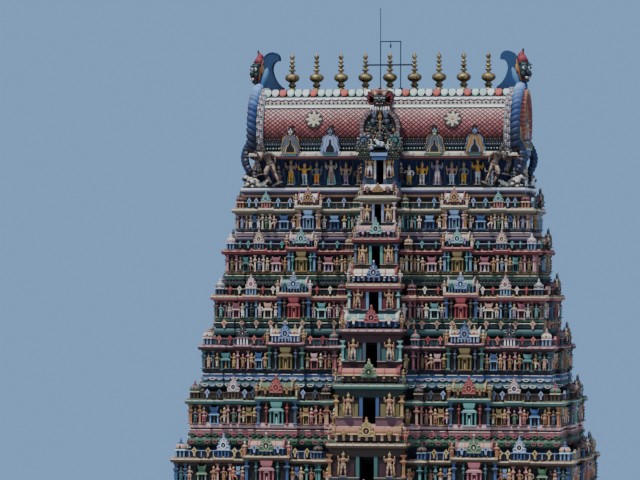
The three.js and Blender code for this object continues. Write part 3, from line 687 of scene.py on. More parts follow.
    # on a podium: one scale of a painted band, and a scallop
    scale = [(0.5 * cos(t), 0.5 + 0.5 * sin(t)) for t in np.linspace(pi, 2 * pi, 6)]
    keepPattern("scallop", [panel(scale, 0.1, -0.1, 0, rim=0.12, sink=0.05, sinkTint=1)])
    keepPattern("bead", [ball(0.5, (0, 0, 0.5), 0, segments=5, rings=3)])


makeSmallParts()
print("small parts ready")

# Storeys

# The plan of a storey, in the same driving sizes as the masonry. Storeys are counted down from the top.
stepped = {
    "eaveX": (9.2, 0.45, 0.027), "eaveY": (3.3, 0.68, 0.02), "lowestEave": 14.5, "rise": (2.51, 0.243),
    "wallHeight": (1, 0.06), "eaveReach": 0.32, "eaveDepth": 0.3, "recess": 0.16, "bayStep": 0.14,
    "porchStep": 0.45, "porchReach": 1.47, "porchRise": 0.72, "bayRise": 0.2, "count": 8, "sideLip": 0.4,
    "drop": 0.12,  # the plaster mouldings hang this far below the edges of the masonry
    "cornerHalf": 0.27, "panelEnd": 0.235,
}


def storeySizes(down):
    p = stepped
    ex = p["eaveX"][0] + p["eaveX"][1] * down + p["eaveX"][2] * down**2
    ey = p["eaveY"][0] + p["eaveY"][1] * down + p["eaveY"][2] * down**2
    z = p["lowestEave"] - p["drop"]
    z += sum(p["rise"][0] + p["rise"][1] * lower for lower in range(down, p["count"] - 1))
    tall = p["wallHeight"][0] + p["wallHeight"][1] * down
    return {"down": down, "wallX": ex - p["eaveReach"], "wallY": ey - p["eaveReach"], "eaveZ": z,
        "tall": tall, "floor": z - tall, "doorHalf": 0.21 + 0.045 * down,
        "porchHalf": 1.04 + 0.245 * down, "stepHalf": 1.45 + 0.33 * down,
        "bayCentre": ex * (0.485 + 0.006 * down), "bayHalf": 0.7 + 0.115 * down, "cornerHalf": ex * 0.05,
        "gableCentre": ex * (0.772 - 0.0075 * down), "gableHalf": 0.23 + 0.03 * down,
        "sideBayHalf": 1 + 0.16 * down, "grow": 1 + 0.05 * down, "porchLift": 0.28 if down > 2 else 0}


def wholePlan(quarter):
    right = quarter + [(x, -y) for x, y in quarter[::-1]]
    return right + [(-x, -y) for x, y in right]


def planEnd(s, reach):
    # the part of a quarter plan from the corner bay round to the middle of the short side
    p = stepped
    rx, ry = s["wallX"] - p["recess"] + reach, s["wallY"] - p["recess"] + reach
    kx, ky = s["wallX"] + reach, s["wallY"] + reach
    cx, cy = s["wallX"] - 2 * s["cornerHalf"] - reach, s["wallY"] - 2 * s["cornerHalf"] - reach
    side = s["sideBayHalf"] + reach
    return [(cx, -ry), (cx, -ky), (kx, -ky), (kx, -cy), (rx, -cy), (rx, -side), (kx + p["bayStep"], -side)]


def podiumPlan(s, reach):
    # the whole outline of a podium, anticlockwise, with its middle bays and porch
    p = stepped
    ry = s["wallY"] - p["recess"] + reach
    by = s["wallY"] + p["bayStep"] + reach
    step = s["wallY"] + p["porchStep"] + reach
    bay = (s["bayCentre"] - s["bayHalf"] - reach, s["bayCentre"] + s["bayHalf"] + reach)
    quarter = [(s["porchHalf"] + reach, -(s["wallY"] + p["porchReach"] + reach)),
        (s["porchHalf"] + reach, -step), (s["stepHalf"] + reach, -step), (s["stepHalf"] + reach, -ry),
        (bay[0], -ry), (bay[0], -by), (bay[1], -by), (bay[1], -ry)]
    return wholePlan(quarter + planEnd(s, reach))


def eavePlan(s, reach):
    # an eave's outline, notched where the raised eaves of the porch and the middle bays take over
    ry = s["wallY"] - stepped["recess"] + reach
    step = s["wallY"] + stepped["porchStep"] + reach
    behind = s["wallY"] - 0.4
    bay = (s["bayCentre"] - s["bayHalf"], s["bayCentre"] + s["bayHalf"])
    quarter = [(s["porchHalf"], -behind), (s["porchHalf"], -step), (s["stepHalf"] + reach, -step),
        (s["stepHalf"] + reach, -ry), (bay[0], -ry), (bay[0], -behind), (bay[1], -behind), (bay[1], -ry)]
    return wholePlan(quarter + planEnd(s, reach))


def moulding(name, outlineAt, rows, paints, move=np.eye(4)):
    # a profile of (reach, height, tint) rows drawn out along a closed plan, and closed on itself
    n = len(outlineAt(0))
    co = np.array([(x, y, row[1]) for row in rows for x, y in outlineAt(row[0])])
    corners, tints = [], []
    for k, row in enumerate(rows):
        a, b = k * n, ((k + 1) % len(rows)) * n
        for i in range(n):
            j = (i + 1) % n
            corners += [a + i, a + j, b + j, b + i]
            tints.append(rows[(k + 1) % len(rows)][2])
    counts = np.full(len(tints), 4)
    storePattern(name, co, np.array(corners), counts, np.array(tints), np.zeros(len(tints), bool))
    lay(name, move, paints)


def boxPlan(halfX, halfY, sideShare=1):
    def outlineAt(reach):
        x, y = halfX + reach * sideShare, halfY + reach
        return [(x, -y), (x, y), (-x, y), (-x, -y)]

    return outlineAt


def shiftOut(side, u, out):
    return spin(90 * side) @ Matrix.Translation((u, -out, 0))


def standBox(name, side, u, out, halfX, halfY, rows, paints, sideShare=1):
    # a moulding round a box that stands at its own place on a face
    moulding(name, boxPlan(halfX, halfY, sideShare), rows, paints, shiftOut(side, u, out))


def follow(outline, name, spacing, z, size, paints):
    # copies a pattern along a plan, evenly on each edge that is long enough, facing outwards
    for a, b in zip(outline, outline[1:] + outline[:1]):
        run = hypot(b[0] - a[0], b[1] - a[1])
        if run < 0.3:
            continue
        turn = degrees(atan2(b[1] - a[1], b[0] - a[0]))
        count = max(1, round(run / spacing))
        for i in range(count):
            k = (i + 0.5) / count
            x, y = a[0] + (b[0] - a[0]) * k, a[1] + (b[1] - a[1]) * k
            stand(name, x, -y, z, 0, size, paints[i % len(paints)], turn=turn)


def kapota(z):
    # the overhanging eave: a fluted cove under it 3, in a dark paint that is partly painted shade, its
    # border 2, the roll 0, a light fillet on top 1
    return [(-0.3, z - 0.2, 3), (0.02, z - 0.2, 3), (0.06, z - 0.12, 3), (0.16, z - 0.04, 3),
        (0.26, z - 0.03, 2), (0.31, z + 0.02, 2), (0.32, z + 0.1, 2), (0.3, z + 0.11, 0),
        (0.34, z + 0.13, 0), (0.33, z + 0.18, 0), (0.27, z + 0.21, 0), (0.2, z + 0.22, 1),
        (0.19, z + 0.25, 1), (0.12, z + 0.26, 3), (0.1, z + 0.3, 3), (-0.3, z + 0.3, 3)]


# What each element is painted, on each storey from the top one down. A shrine's list is body, posts,
# niche, figure; an eave's is roll, fillet, border, soffit, the soffit's dark paint being partly painted
# shade; a podium's is gap, roll, groove, band, ledge.
elementPaint = {
    "eave": ("cream yellow khaki khaki", "red navy crimson navy", "gold tan rose crimson",
        "mauve pink maroon maroon", "sage green teal bottle", "tan gold brown umber"),
    # the eaves' dashes are in light paints, partly a painted highlight along the roll
    "dash": ("cream", "peach", "cream", "pink", "aqua", "cream"),
    "crest": ("gold", "coral", "gold", "rose", "olive", "gold"),
    # the near-black walls are partly painted shade in the recesses behind the figures
    "wall": ("maroon", "black", "black", "black", "black", "black"),
    "foot": ("slate", "brown", "slate", "maroon", "mauve", "slate"),
    "podium": ("black violet maroon pink slate", "black bottle navy green olive",
        "black teal navy deepTeal green", "black teal slate blue navy", "navy green maroon rose pink",
        "black teal navy tan slate"),
    "motif": ((), ("scallop", 0.19, (0.17, 0.5, 0.2), ("green bottle", "violet navy")),
        ("smallNasi", 0.78, (0.34, 0.5, 0.4), ("peach coral", "tan coral")),
        ("scallop", 0.42, (0.4, 0.6, 0.26), ("lavender white", "white brown")),
        ("scallop", 0.34, (0.3, 0.6, 0.3), ("green navy", "rose crimson")),
        ("smallNasi", 0.5, (0.26, 0.5, 0.36), ("sky navy", "coral red"))),
    "rail": ("bottle tan", "black lilac", "black tan", "deepTeal rose", "umber brown", "navy sky"),
    "railPost": ("slate", "navy", "navy", "slate", "brown", "lavender"),
    "small": (("lavender navy", "sky slate"), ("turquoise teal", "teal aqua"), ("cream tan", "red coral"),
        ("red crimson", "coral red"), ("slate navy", "lavender slate"), ("gold umber", "yellow brown")),
    "hall": ("rose cream white coral maroon", "slate lilac peach cream navy",
        "sky teal turquoise pink navy", "white rose turquoise cream blue", "brown ochre green gold umber",
        "blue lavender peach rose navy"),
    "hallNasi": ("rose gold maroon yellow", "turquoise aqua navy aqua", "lavender sky navy white",
        "blue lavender navy sky", "red coral crimson coral", "green sage bottle cream"),
    "nasi": ("turquoise aqua teal turquoise", "tan cream brown peach", "pink white rose coral",
        "bottle slate black peach", "pink white blue coral", "sky white navy lavender"),
    "kuta": ("orange tan crimson umber maroon", "sky lavender pink white navy",
        "slate lilac grey white navy", "lavender pink cream peach deepTeal", "brown sage green red umber",
        "sky aqua peach blue navy"),
    "stepKuta": ("teal gold deepTeal olive bottle", "brown gold tan ochre umber",
        "crimson mauve crimson plum maroon", "slate rose teal coral deepTeal",
        "umber olive bottle crimson umber", "blue slate brown navy navy"),
    "middle": ("sky lavender maroon green", "olive ochre darkOlive gold", "red coral crimson coral",
        "olive ochre darkOlive gold", "turquoise aqua black aqua", "rose pink crimson pink"),
    "middlePost": ("ochre tan", "sky slate", "blue slate", "teal green", "slate blue", "blue slate"),
    "baluster": ("pink", "turquoise", "brown", "slate", "red", "teal"),
    "shrines": (("sky blue navy slate", "blue sky navy slate", "blue slate navy slate"),
        ("rose pink black lavender", "rose pink black white", "turquoise teal black bottle"),
        ("turquoise aqua black bottle", "peach cream black brown", "rose pink black crimson"),
        ("pink rose black umber", "blue sky black slate", "turquoise teal black ochre"),
        ("ochre gold black olive", "olive ochre black umber", "blue sky black slate"),
        ("blue slate black slate", "sky blue black slate", "green sage black teal")),
    "gableBay": ("cream tan green", "cream peach skinBlue", "sky slate bottle", "pink rose ochre",
        "pink rose green", "peach rose ochre"),
    "corner": ("tan mauve lavender", "pink rose olive", "brown mauve turquoise", "slate teal peach",
        "orange ochre slate", "blue slate teal"),
    "jamb": ("lavender", "turquoise", "sky", "slate", "blue", "teal"),
    "doorBack": ("umber", "ochre", "crimson", "teal", "olive", "maroon"),
    "porchPost": ("pink cream", "skinBlue slate", "aqua teal", "turquoise aqua", "gold ochre",
        "ochre orange"),
    "stepPost": ("turquoise teal", "cream gold", "rose mauve", "rose mauve", "peach coral",
        "turquoise teal"),
    "porchHall": ("umber gold white mauve umber", "mauve lavender peach pink navy",
        "lavender white cream red navy", "blue pink turquoise cream navy", "brown yellow coral red umber",
        "peach gold orange ochre umber"),
    "porchNasi": ("orange gold orange yellow", "turquoise aqua navy sage", "blue lavender navy white",
        "red rose maroon coral", "sage green bottle gold", "gold yellow umber orange"),
    "people": (("skinPale white", "skinRose cream", "skinGold white", "skinTan white"),
        ("skinTan tan", "skinGold cream", "skinTan brown", "orange ochre"),
        ("skinPale white", "white pink", "skinPale lilac", "skinRose white"),
        ("ochre gold", "skinGold ochre", "ochre olive", "skinTan gold"),
        ("skinTan ochre", "ochre olive", "coral rose", "skinGold brown"),
        ("orange peach", "coral orange", "skinRose tan", "skinTan orange")),
}
storeyPaint = [{key: paints[k] for key, paints in elementPaint.items()} for k in range(6)]
# The two lowest storeys don't show, and repeat the schemes of two above them.
storeyPaint += [dict(storeyPaint[2], eave="turquoise aqua teal deepTeal"),
    dict(storeyPaint[3], eave="gold yellow ochre umber")]

for colours in storeyPaint:
    colours.update({key: value.split() for key, value in colours.items() if " " in value})

skins = "skinGold skinTan skinRose skinBlue skinGreen skinPale".split()
cloths = "white yellow red orange pink sky coral sage cream lilac".split()
gilding = ("gold", "yellow", "ochre", "cream")
footBlocks = ("slate", "umber", "teal", "maroon")
poses = ("standing", "fourArmed", "praying", "dancing", "bearer", "standing", "fourArmed")


def figurePaints():
    return [chance.choice(paints) for paints in (skins, cloths, gilding, footBlocks, cloths)]


def person(colours, side, u, out, z, high, n):
    # one of the storey's people, in its own colours
    skin, cloth = colours["people"][n % len(colours["people"])].split()
    pose = poses[chance.randrange(len(poses))]
    way = chance.choice((-1, 1))
    paints = (skin, cloth, chance.choice(("gold", "yellow", "cream")), "umber",
        chance.choice(("red", "white", cloth)))
    stand(pose, u, out, z, side, (high * way, high, high), paints)


def panelOf(s, colours, side, start, end, back, n):
    # a shrine with a figure on either side of it, on the plain wall between two bays
    z, tall = s["floor"], s["tall"]
    mid, reach = (start + end) / 2, (end - start) / 2 - stepped["panelEnd"]
    if reach < 0.2:
        return
    wide = min(0.68, reach * 1.3)
    for way in (-1, 1):
        stand("shrine", way * mid, back + 0.06, z, side, (wide, 1.2, tall * 0.86),
            colours["shrines"][n % 3])
        for k in (-1, 1):
            person(colours, side, way * (mid + k * reach), back + 0.18, z, tall * 0.86, n + k + way)


def pillared(s, side, u, half, out, paints):
    # a standing figure between two pilasters: pilaster 0, its capital 1, the figure 2
    z, tall = s["floor"], s["tall"]
    for k in (-1, 1):
        stand("pilaster", u + k * half, out, z, side, (tall * 0.8, tall * 0.8, tall * 0.94), paints[:2])
    stand("standing", u, out + 0.04, z, side, (tall * 0.8, tall * 0.8, tall * 0.82),
        (paints[2], paints[2], paints[1], "umber", paints[2]))


def middleBay(s, colours, side, u, out):
    # the broad bay: its big shrine between two turned balusters and two square pillars, under a lintel
    # in the soffit's dark paint, which is painted shade under the raised eave
    tall, z = s["tall"] + stepped["bayRise"], s["floor"]
    half = s["bayHalf"]
    wide = 0.72 + 0.05 * s["down"]
    # the lintel: a dark band in the soffit's paint, painted shade under the raised eave
    stand("rail", u, out - 0.1, s["eaveZ"] - 0.05, side, (half * 2, 0.2, 0.25), colours["eave"][3])
    stand("bigShrine", u, out + 0.06, z, side, (wide, 1.3, tall * 0.96), colours["middle"])
    for way in (-1, 1):
        stand("baluster", u + way * (wide / 2 + 0.17), out + 0.1, z, side, (1.1, 1.1, tall * 0.94),
            colours["baluster"])
        stand("pilaster", u + way * (half - 0.04), out + 0.06, z, side, (tall, tall, tall),
            colours["middlePost"])


def wallFace(s, colours, side):
    # a long face: corner bay, panel, small bay, panel, middle bay, panel, and a figure beside the step
    wall = s["wallY"]
    back = wall - stepped["recess"]
    inner, outer = s["bayCentre"] - s["bayHalf"], s["bayCentre"] + s["bayHalf"]
    first, last = s["gableCentre"] - s["gableHalf"], s["gableCentre"] + s["gableHalf"]
    corner = s["wallX"] - stepped["cornerHalf"] - 0.03
    run = min(first - outer, inner - s["stepHalf"])
    panelOf(s, colours, side, inner - run, inner, back, 0)
    panelOf(s, colours, side, outer, first, back, 1)
    panelOf(s, colours, side, last, corner - stepped["cornerHalf"], back, 2)
    spare = inner - run - s["stepHalf"]
    for way in (-1, 1):
        pillared(s, side, way * s["gableCentre"], s["gableHalf"], back + 0.14, colours["gableBay"])
        pillared(s, side, way * corner, stepped["cornerHalf"], wall + 0.06, colours["corner"])
        middleBay(s, colours, side, way * s["bayCentre"], wall + stepped["bayStep"])
        if spare > 0.5:
            pillared(s, side, way * (s["stepHalf"] + spare / 2 + 0.05), min(0.3, spare / 2 - 0.08),
                back + 0.12, colours["stepPost"] + colours["people"][0].split()[:1])
        else:
            stand("pilaster", way * (s["stepHalf"] + 0.12), back + 0.12, s["floor"], side, s["tall"],
                colours["gableBay"])


def endFace(s, colours, side):
    # a short side: corner bays, the broad bay in the middle, and what fits between them
    wall = s["wallX"]
    back = wall - stepped["recess"]
    corner = s["wallY"] - stepped["cornerHalf"] - 0.03
    free = corner - stepped["cornerHalf"] - s["sideBayHalf"]
    count = max(1, round(free / 1.5))
    for i in range(count):
        start = s["sideBayHalf"] + free * i / count
        panelOf(s, colours, side, start, start + free / count, back, i)
    for way in (-1, 1):
        pillared(s, side, way * corner, stepped["cornerHalf"], wall + 0.06, colours["corner"])
        pillared(s, side, way * s["sideBayHalf"] * 0.72, 0.2, wall + stepped["bayStep"] + 0.08,
            colours["gableBay"])
    middleBay(dict(s, bayHalf=s["sideBayHalf"]), colours, side, 0, wall + stepped["bayStep"])


def porch(s, colours, side):
    # the door between its two guardians, under the raised eave, with a narrower step behind it
    p = stepped
    z, tall = s["floor"], s["tall"] + p["porchRise"]
    front = s["wallY"] + p["porchReach"]
    door, half = s["doorHalf"], s["porchHalf"]
    jamb = 0.15 + 0.012 * s["down"]
    free = half - door - jamb - 0.12
    foot = (0.42, 0.47, 0.56)[min(2, s["down"])]  # the plinth that the guardians stand on
    people = 1.1 + 0.09 * s["down"]
    rise = tall - foot - 0.12
    for way in (-1, 1):
        mid = way * (door + jamb + free / 2)
        stand("rail", way * (door + half) / 2, front, z, side, (half - door, 0.14, foot), colours["foot"])
        stand("rail", way * (door + half + 0.06) / 2, front + 0.04, z + foot - 0.05, side,
            (half - door + 0.06, 0.2, 0.05), "tan")
        stand("rail", way * (door + jamb / 2), front - 0.03, z + foot, side, (jamb, 0.16, rise),
            colours["jamb"])
        stand("rail", mid, front, z + foot, side, (free * 0.86, 0.04, people * 0.52), colours["doorBack"])
        stand("guardian", mid, front + 0.13, z + foot, side, (people * 0.94 * way, people * 0.9, people),
            ("skinGold" if s["down"] < 2 else "skinTan", ("cream", "peach", "tan")[s["down"] % 3], "gold",
            "slate", "skinRose"))
        stand("pilaster", way * (half - 0.05), front + 0.05, z + foot, side, (people, people, rise),
            colours["porchPost"])
        stand("pilaster", way * (s["stepHalf"] - 0.08), s["wallY"] + p["porchStep"] + 0.05, z, side,
            (s["tall"] * 1.1, s["tall"], s["tall"]), colours["stepPost"])
        for n, k in enumerate((0.45, 1)):
            person(colours, side, way * (half + 0.16), front - k, z, s["tall"] * 0.85, n)
    # a band under the porch's eave in the soffit's dark paint, painted shade
    stand("rail", 0, front - 0.05, z + tall - 0.24, side, (half * 2, 0.26, 0.24 + s["porchLift"]),
        colours["eave"][3])


def eaveBand(s, colours, label):
    # the main eave, and the raised ones over the small bays, the middle bays and the porch
    p = stepped
    z = s["eaveZ"]
    moulding(label + "Eave", lambda reach: eavePlan(s, reach), kapota(z), colours["eave"])
    # light dashes along the roll, partly a painted highlight
    follow(eavePlan(s, 0.32), "dash", 0.46, z + 0.17, (0.34, 1, 0.8), (colours["dash"],))
    spacing = 0.24 if s["down"] == 2 else 0.46
    follow(eavePlan(s, 0.24), "crest", spacing, z + 0.2, (0.15, 0.2, 0.11), (colours["crest"],))
    deep = 0.3
    raised = ((s["bayCentre"], s["wallY"] + p["bayStep"] - deep, s["bayHalf"], z + p["bayRise"]),
        (s["gableCentre"], s["wallY"] - 0.42, s["gableHalf"] + 0.12, z + 0.05))
    for u, out, half, top in raised:
        for side in (0, 2):
            for way in (-1, 1):
                name = "%sRaised%d%d%d" % (label, round(u * 10), side, way)
                standBox(name, side, way * u, out, half, deep, kapota(top), colours["eave"], p["sideLip"])
                crown(colours, side, way * u, out + deep, half, top)
    deep = (p["porchReach"] - 0.2) / 2
    for side in (0, 2):
        top = z + p["porchRise"] + s["porchLift"]
        out = s["wallY"] + p["porchReach"] - deep
        name = "%sPorch%d" % (label, side)
        standBox(name, side, 0, out, s["porchHalf"], deep, kapota(top), colours["eave"], p["sideLip"])
        crown(colours, side, 0, out + deep, s["porchHalf"], top)


def crown(colours, side, u, out, half, z):
    # dashes and crests along the front lip of a raised eave; the dashes' light paint is partly a painted
    # highlight on the roll
    count = max(2, round(2 * half / 0.5))
    for i in range(count):
        place = u + ((i + 0.5) / count - 0.5) * 2 * half
        stand("dash", place, out + 0.32, z + 0.17, side, (1.7 * half / count, 1, 1), colours["dash"])
    for i in range(count + 1):
        place = u + (i / count - 0.5) * 2 * (half + 0.06)
        stand("crest", place, out + 0.25, z + 0.2, side, (0.16, 0.2, 0.12), colours["crest"])


# Reach, share of the podium's height, and tint, from its foot up.
podiumProfile = (
    (-0.4, 0, 0), (0, 0, 0), (0, 0.34, 0), (0.08, 0.37, 1), (0.12, 0.45, 1), (0.12, 0.53, 1),
    (0.07, 0.6, 1), (0.02, 0.61, 2), (0.02, 0.65, 2), (0.07, 0.66, 3), (0.09, 0.84, 3), (0, 0.85, 2),
    (0, 0.88, 2), (0.1, 0.9, 4), (0.12, 0.97, 4),
)


def podiumBand(above, colours, bottom, label):
    # the mouldings between one storey's parapet and the foot of the next storey's wall
    h = above["floor"] - bottom
    rows = [(reach, bottom + h * share, tint) for reach, share, tint in podiumProfile]
    rows += [(0.06, above["floor"], 4), (-0.01, above["floor"], 4),
        (-0.01, above["floor"] + stepped["drop"] + 0.01, 4),
        (-0.4, above["floor"] + stepped["drop"] + 0.01, 4)]
    moulding(label + "Podium", lambda reach: podiumPlan(above, reach), rows, colours["podium"])
    if colours["motif"]:
        name, spacing, size, paints = colours["motif"]
        grow = above["grow"]
        size = (size[0] * grow, size[1], size[2] * grow * 1.2)
        follow(podiumPlan(above, 0.11), name, spacing * grow, bottom + h * 0.62, size, paints)
        if name == "scallop":
            follow(podiumPlan(above, 0.14), name, spacing * grow, bottom + h * 0.4, size, paints[::-1])
    follow(podiumPlan(above, 0.1), "dash", 0.7, bottom + h * 0.83, (0.62, 1, 0.7), ("cream",))


def floorsAndCores(s, above, label):
    # the masonry behind the mouldings: a bed under the parapet, the podium's core and its floor
    z = s["eaveZ"]
    bed = [(-0.75, z + 0.01, 0), (0, z + 0.01, 0), (0, z + 0.29, 0), (-0.75, z + 0.29, 0)]
    moulding(label + "Bed", boxPlan(s["wallX"] - 0.2, s["wallY"] - 0.2), bed, "umber")
    top = above["floor"]
    core = [(-0.5, z + 0.28, 0), (0, z + 0.28, 0), (0, top - 0.02, 0), (-0.5, top - 0.02, 0)]
    moulding(label + "Core", boxPlan(above["wallX"] - 0.3, above["wallY"] - 0.3), core, "umber")
    stand("rail", 0, 0, top - 0.35, 0, (2 * above["wallX"] - 1.2, 2 * above["wallY"] - 1.2, 0.34), "grey")


def railRun(s, colours, side, start, end, out):
    # a low dark wall with a light rail, short posts and two little gables on stalks
    z, g = s["eaveZ"] + stepped["eaveDepth"], s["grow"]
    long = end - start
    if long < 0.25:
        return
    high = 0.32 * g
    count = max(2, round(long / 0.4))
    for way in (-1, 1):
        mid = way * (start + end) / 2
        stand("rail", mid, out, z, side, (long, 0.22, high), colours["rail"][0])
        stand("rail", mid, out + 0.05, z + high - 0.03, side, (long, 0.26, 0.045), colours["rail"][1])
        for i in range(count):
            stand("post", way * (start + (i + 0.5) * long / count), out + 0.12, z, side, (0.7, 1, high),
                colours["railPost"])
        for n, k in enumerate((0.27, 0.73)):
            leaf = 0.56 if s["down"] == 0 else 0.44
            stand("smallNasi", way * (start + k * long), out + 0.2, z + 0.06, side,
                (0.26 * g, 0.4, leaf * g), colours["small"][n])


def hara(s, colours):
    # the row of pavilions on the eave: domes at the corners, gables, and halls over the bays and the porch
    p, g = stepped, s["grow"]
    z = s["eaveZ"] + p["eaveDepth"]
    kutaSize = (0.56 * g, 0.56 * g, 0.82 * g)
    gableWide = 0.66 * (1 + 0.06 * s["down"])
    bay = s["bayHalf"]
    for side in (0, 2):
        front = s["wallY"] - 0.02
        railRun(s, colours, side, s["stepHalf"] + 0.3, s["bayCentre"] - bay, front)
        railRun(s, colours, side, s["bayCentre"] + bay, s["gableCentre"] - gableWide / 2, front)
        railRun(s, colours, side, s["gableCentre"] + gableWide / 2, s["wallX"] - 0.5 * g, front)
        for way in (-1, 1):
            u = way * s["bayCentre"]
            level, out = z + p["bayRise"], s["wallY"] + p["bayStep"] - 0.06
            stand("hall", u, out, level, side, (bay * 1.66, 0.95 * g, 0.72 * g), colours["hall"])
            stand("nasi", u, out + 0.34 * g, level + 0.16 * g, side, (0.72 * g, 0.7, 0.84 * g),
                colours["hallNasi"])
            for k in (-1, 1):
                if s["down"] == 3:
                    stand("kuta", u + k * bay * 0.55, out + 0.2, level, side, (0.52 * g, 0.5 * g, 0.8 * g),
                        "lavender white peach gold navy")
                else:
                    stand("smallNasi", u + k * bay * 0.56, out + 0.33 * g, level + 0.12, side,
                        (0.3 * g, 0.4, 0.4 * g), (colours["hall"][1], colours["hall"][4]))
                person(colours, side, u + k * (bay + 0.06), out + 0.2, level - 0.14, 0.78 * g, k)
            u = way * s["gableCentre"]
            for k in (-0.36, -0.12, 0.12, 0.36):
                stand("post", u + k * gableWide, front + 0.16, z, side, (1.1, 1, 0.34 * g),
                    colours["hall"][0])
            stand("rail", u, front, z, side, (gableWide, 0.22, 0.34 * g), colours["rail"][0])
            stand("rail", u, front + 0.06, z + 0.32 * g, side, (gableWide * 1.05, 0.34, 0.06),
                colours["rail"][1])
            stand("nasi", u, front + 0.16, z + 0.36 * g, side,
                (gableWide * 0.94, 0.8, (0.6 if s["down"] == 0 else 0.72) * g), colours["nasi"])
            corner = 0.28 * g
            stand("kuta", way * (s["wallX"] - corner + 0.12), s["wallY"] - corner + 0.12, z, side, kutaSize,
                colours["kuta"])
            stand("kuta", way * (s["stepHalf"] + 0.02), s["wallY"] + p["porchStep"] - 0.14, z, side,
                (0.5 * g, 0.5 * g, 0.74 * g), colours["stepKuta"])
        level = z + p["porchRise"] + s["porchLift"] + (0.12 if s["down"] > 1 else 0)
        out = s["wallY"] + p["porchReach"] - 0.22
        half = s["porchHalf"]
        stand("hall", 0, out, level, side, (half * 1.76, 0.9 * g, 0.72 * g), colours["porchHall"])
        crownHigh = 0.5 if s["down"] == 0 else 0.86 * g
        stand("nasi", 0, out + 0.33 * g, level + 0.2 * g, side, (0.68 + 0.08 * s["down"], 0.8, crownHigh),
            colours["porchNasi"])
        for way in (-1, 1):
            for k in (0.45, 0.78) if s["down"] in (2, 4) else (0.6,):
                stand("seated" if s["down"] in (2, 4) else "smallNasi", way * half * k, out + 0.34 * g,
                    level + 0.16, side, (0.34 * g, 0.4, 0.42 * g),
                    (colours["porchHall"][3], colours["porchHall"][1], "gold", "umber", "red"))
            person(colours, side, way * (half + 0.02), out + 0.1, level - 0.1, 0.72 * g, 1)
    colours = dict(colours, **endPaint)
    for side in (1, 3):
        half = s["sideBayHalf"]
        railRun(s, colours, side, half, s["wallY"] - 0.5 * g, s["wallX"] - 0.02)
        out = s["wallX"] + p["bayStep"] - 0.06
        stand("hall", 0, out, z, side, (half * 1.7, 0.95 * g, 0.78 * g), colours["hall"])
        stand("nasi", 0, out + 0.34 * g, z + 0.06, side, (0.86 * g, 0.8, 1.1 * g), colours["hallNasi"])
        for way in (-1, 1):
            stand("kuta", way * half * 0.94, out, z, side, kutaSize, colours["stepKuta"])
            person(colours, side, way * half * 0.6, out + 0.38, z + 0.1, 0.8 * g, way)


# On the short sides the figures and gables are painted darker.
endPaint = {
    "hall": "umber brown slate mauve umber".split(), "hallNasi": "slate brown navy tan",
    "people": ("brown umber", "slate brown", "tan umber"),
}


def neckPodium(s, label):
    # the podium of the neck storey, banded in white, blue, maroon and ochre, over a dark gap
    n = neck
    foot = s["eaveZ"] + stepped["eaveDepth"]
    x, y = n["ledge"][0] - 0.3, n["ledge"][1] - 0.3
    h = n["floor"] - foot
    top = n["floor"]
    rows = [(-1.2, foot - 0.02, 0), (0, foot - 0.02, 0), (0, top - 0.62, 0), (0.1, top - 0.57, 1),
        (0.14, top - 0.47, 1), (0.14, top - 0.44, 2), (0.2, top - 0.38, 2), (0.2, top - 0.36, 3),
        (0.25, top - 0.27, 3), (0.25, top - 0.26, 4), (0.29, top - 0.18, 4), (0.3, top - 0.17, 5),
        (0.3, top - 0.05, 5), (0.2, top - 0.04, 0), (0.1, top, 0), (-1.2, top, 0)]
    paints = "umber peach brown violet lilac bright"
    moulding(label + "NeckPodium", boxPlan(x, y), rows, paints)
    front = n["porchFront"] + 0.12
    for side in (0, 2):
        deep = (front - y) / 2 + 0.1
        standBox("%sNeckStep%d" % (label, side), side, 0, front - deep, n["porchHalf"] + 0.06, deep,
            [(-0.4, foot, 0), (-0.02, foot, 0), (-0.02, foot + h * 0.5, 0), (0.06, foot + h * 0.55, 1),
            (0.06, foot + h * 0.8, 1), (0, foot + h * 0.82, 2), (0.06, n["floor"], 2),
            (-0.4, n["floor"], 2)], "umber mauve slate")
    stand("rail", 0, 0, n["floor"] - 0.36, 0, (2 * x - 2.2, 2 * y - 2.2, 0.35), "grey")


neck = {
    "floor": 38.6, "wall": (7.9, 1.9), "ledge": (8.7, 2.9), "porchHalf": 1.05, "porchFront": 3.75,
    "figures": (1.53, 2.33, 3.25, 4.14, 4.87, 5.73, 6.5), "eave": (8.05, 2.72), "eaveZ": 40.32,
}


def dressStorey(down):
    s = storeySizes(down)
    colours = storeyPaint[down]
    label = "storey_%d" % (stepped["count"] - down)
    for side in (0, 2):
        wallFace(s, colours, side)
        porch(s, colours, side)
    for side in (1, 3):
        endFace(s, colours, side)
    makePiece(label + "_carving")
    eaveBand(s, colours, label)
    if down:
        above = storeySizes(down - 1)
        podiumBand(above, storeyPaint[down - 1], s["eaveZ"] + stepped["eaveDepth"], label)
        floorsAndCores(s, above, label)
    else:
        neckPodium(s, label)
    hara(s, colours)
    makePiece(label + "_eave_and_parapet", [label + "_eave"])
    footTop = (s["floor"] + 0.08 * s["tall"]) * modelScale
    walls = wallPlaster(label + "_lime_plaster_wall", colours["wall"], colours["foot"], footTop)
    for half in ("_right_wall", "_left_wall"):
        dressNode(label + half, walls)


for down in range(stepped["count"]):
    dressStorey(down)
print("storeys ready")

# The barrel roof

roof = {
    "foot": 40.6, "axis": 41.9, "radius": 2.6, "half": 7.58, "ridge": 44.56, "ridgeHalf": 1,
    "scalesFrom": -4.4, "scalesTo": 34, "scaleRows": 14, "scaleColumns": 49, "petals": 32,
    "roundels": (-4.25, 4.25), "dormers": (-5.64, -3.19, 3.19, 5.64), "dormerSize": (1.36, 1, 1.74),
}
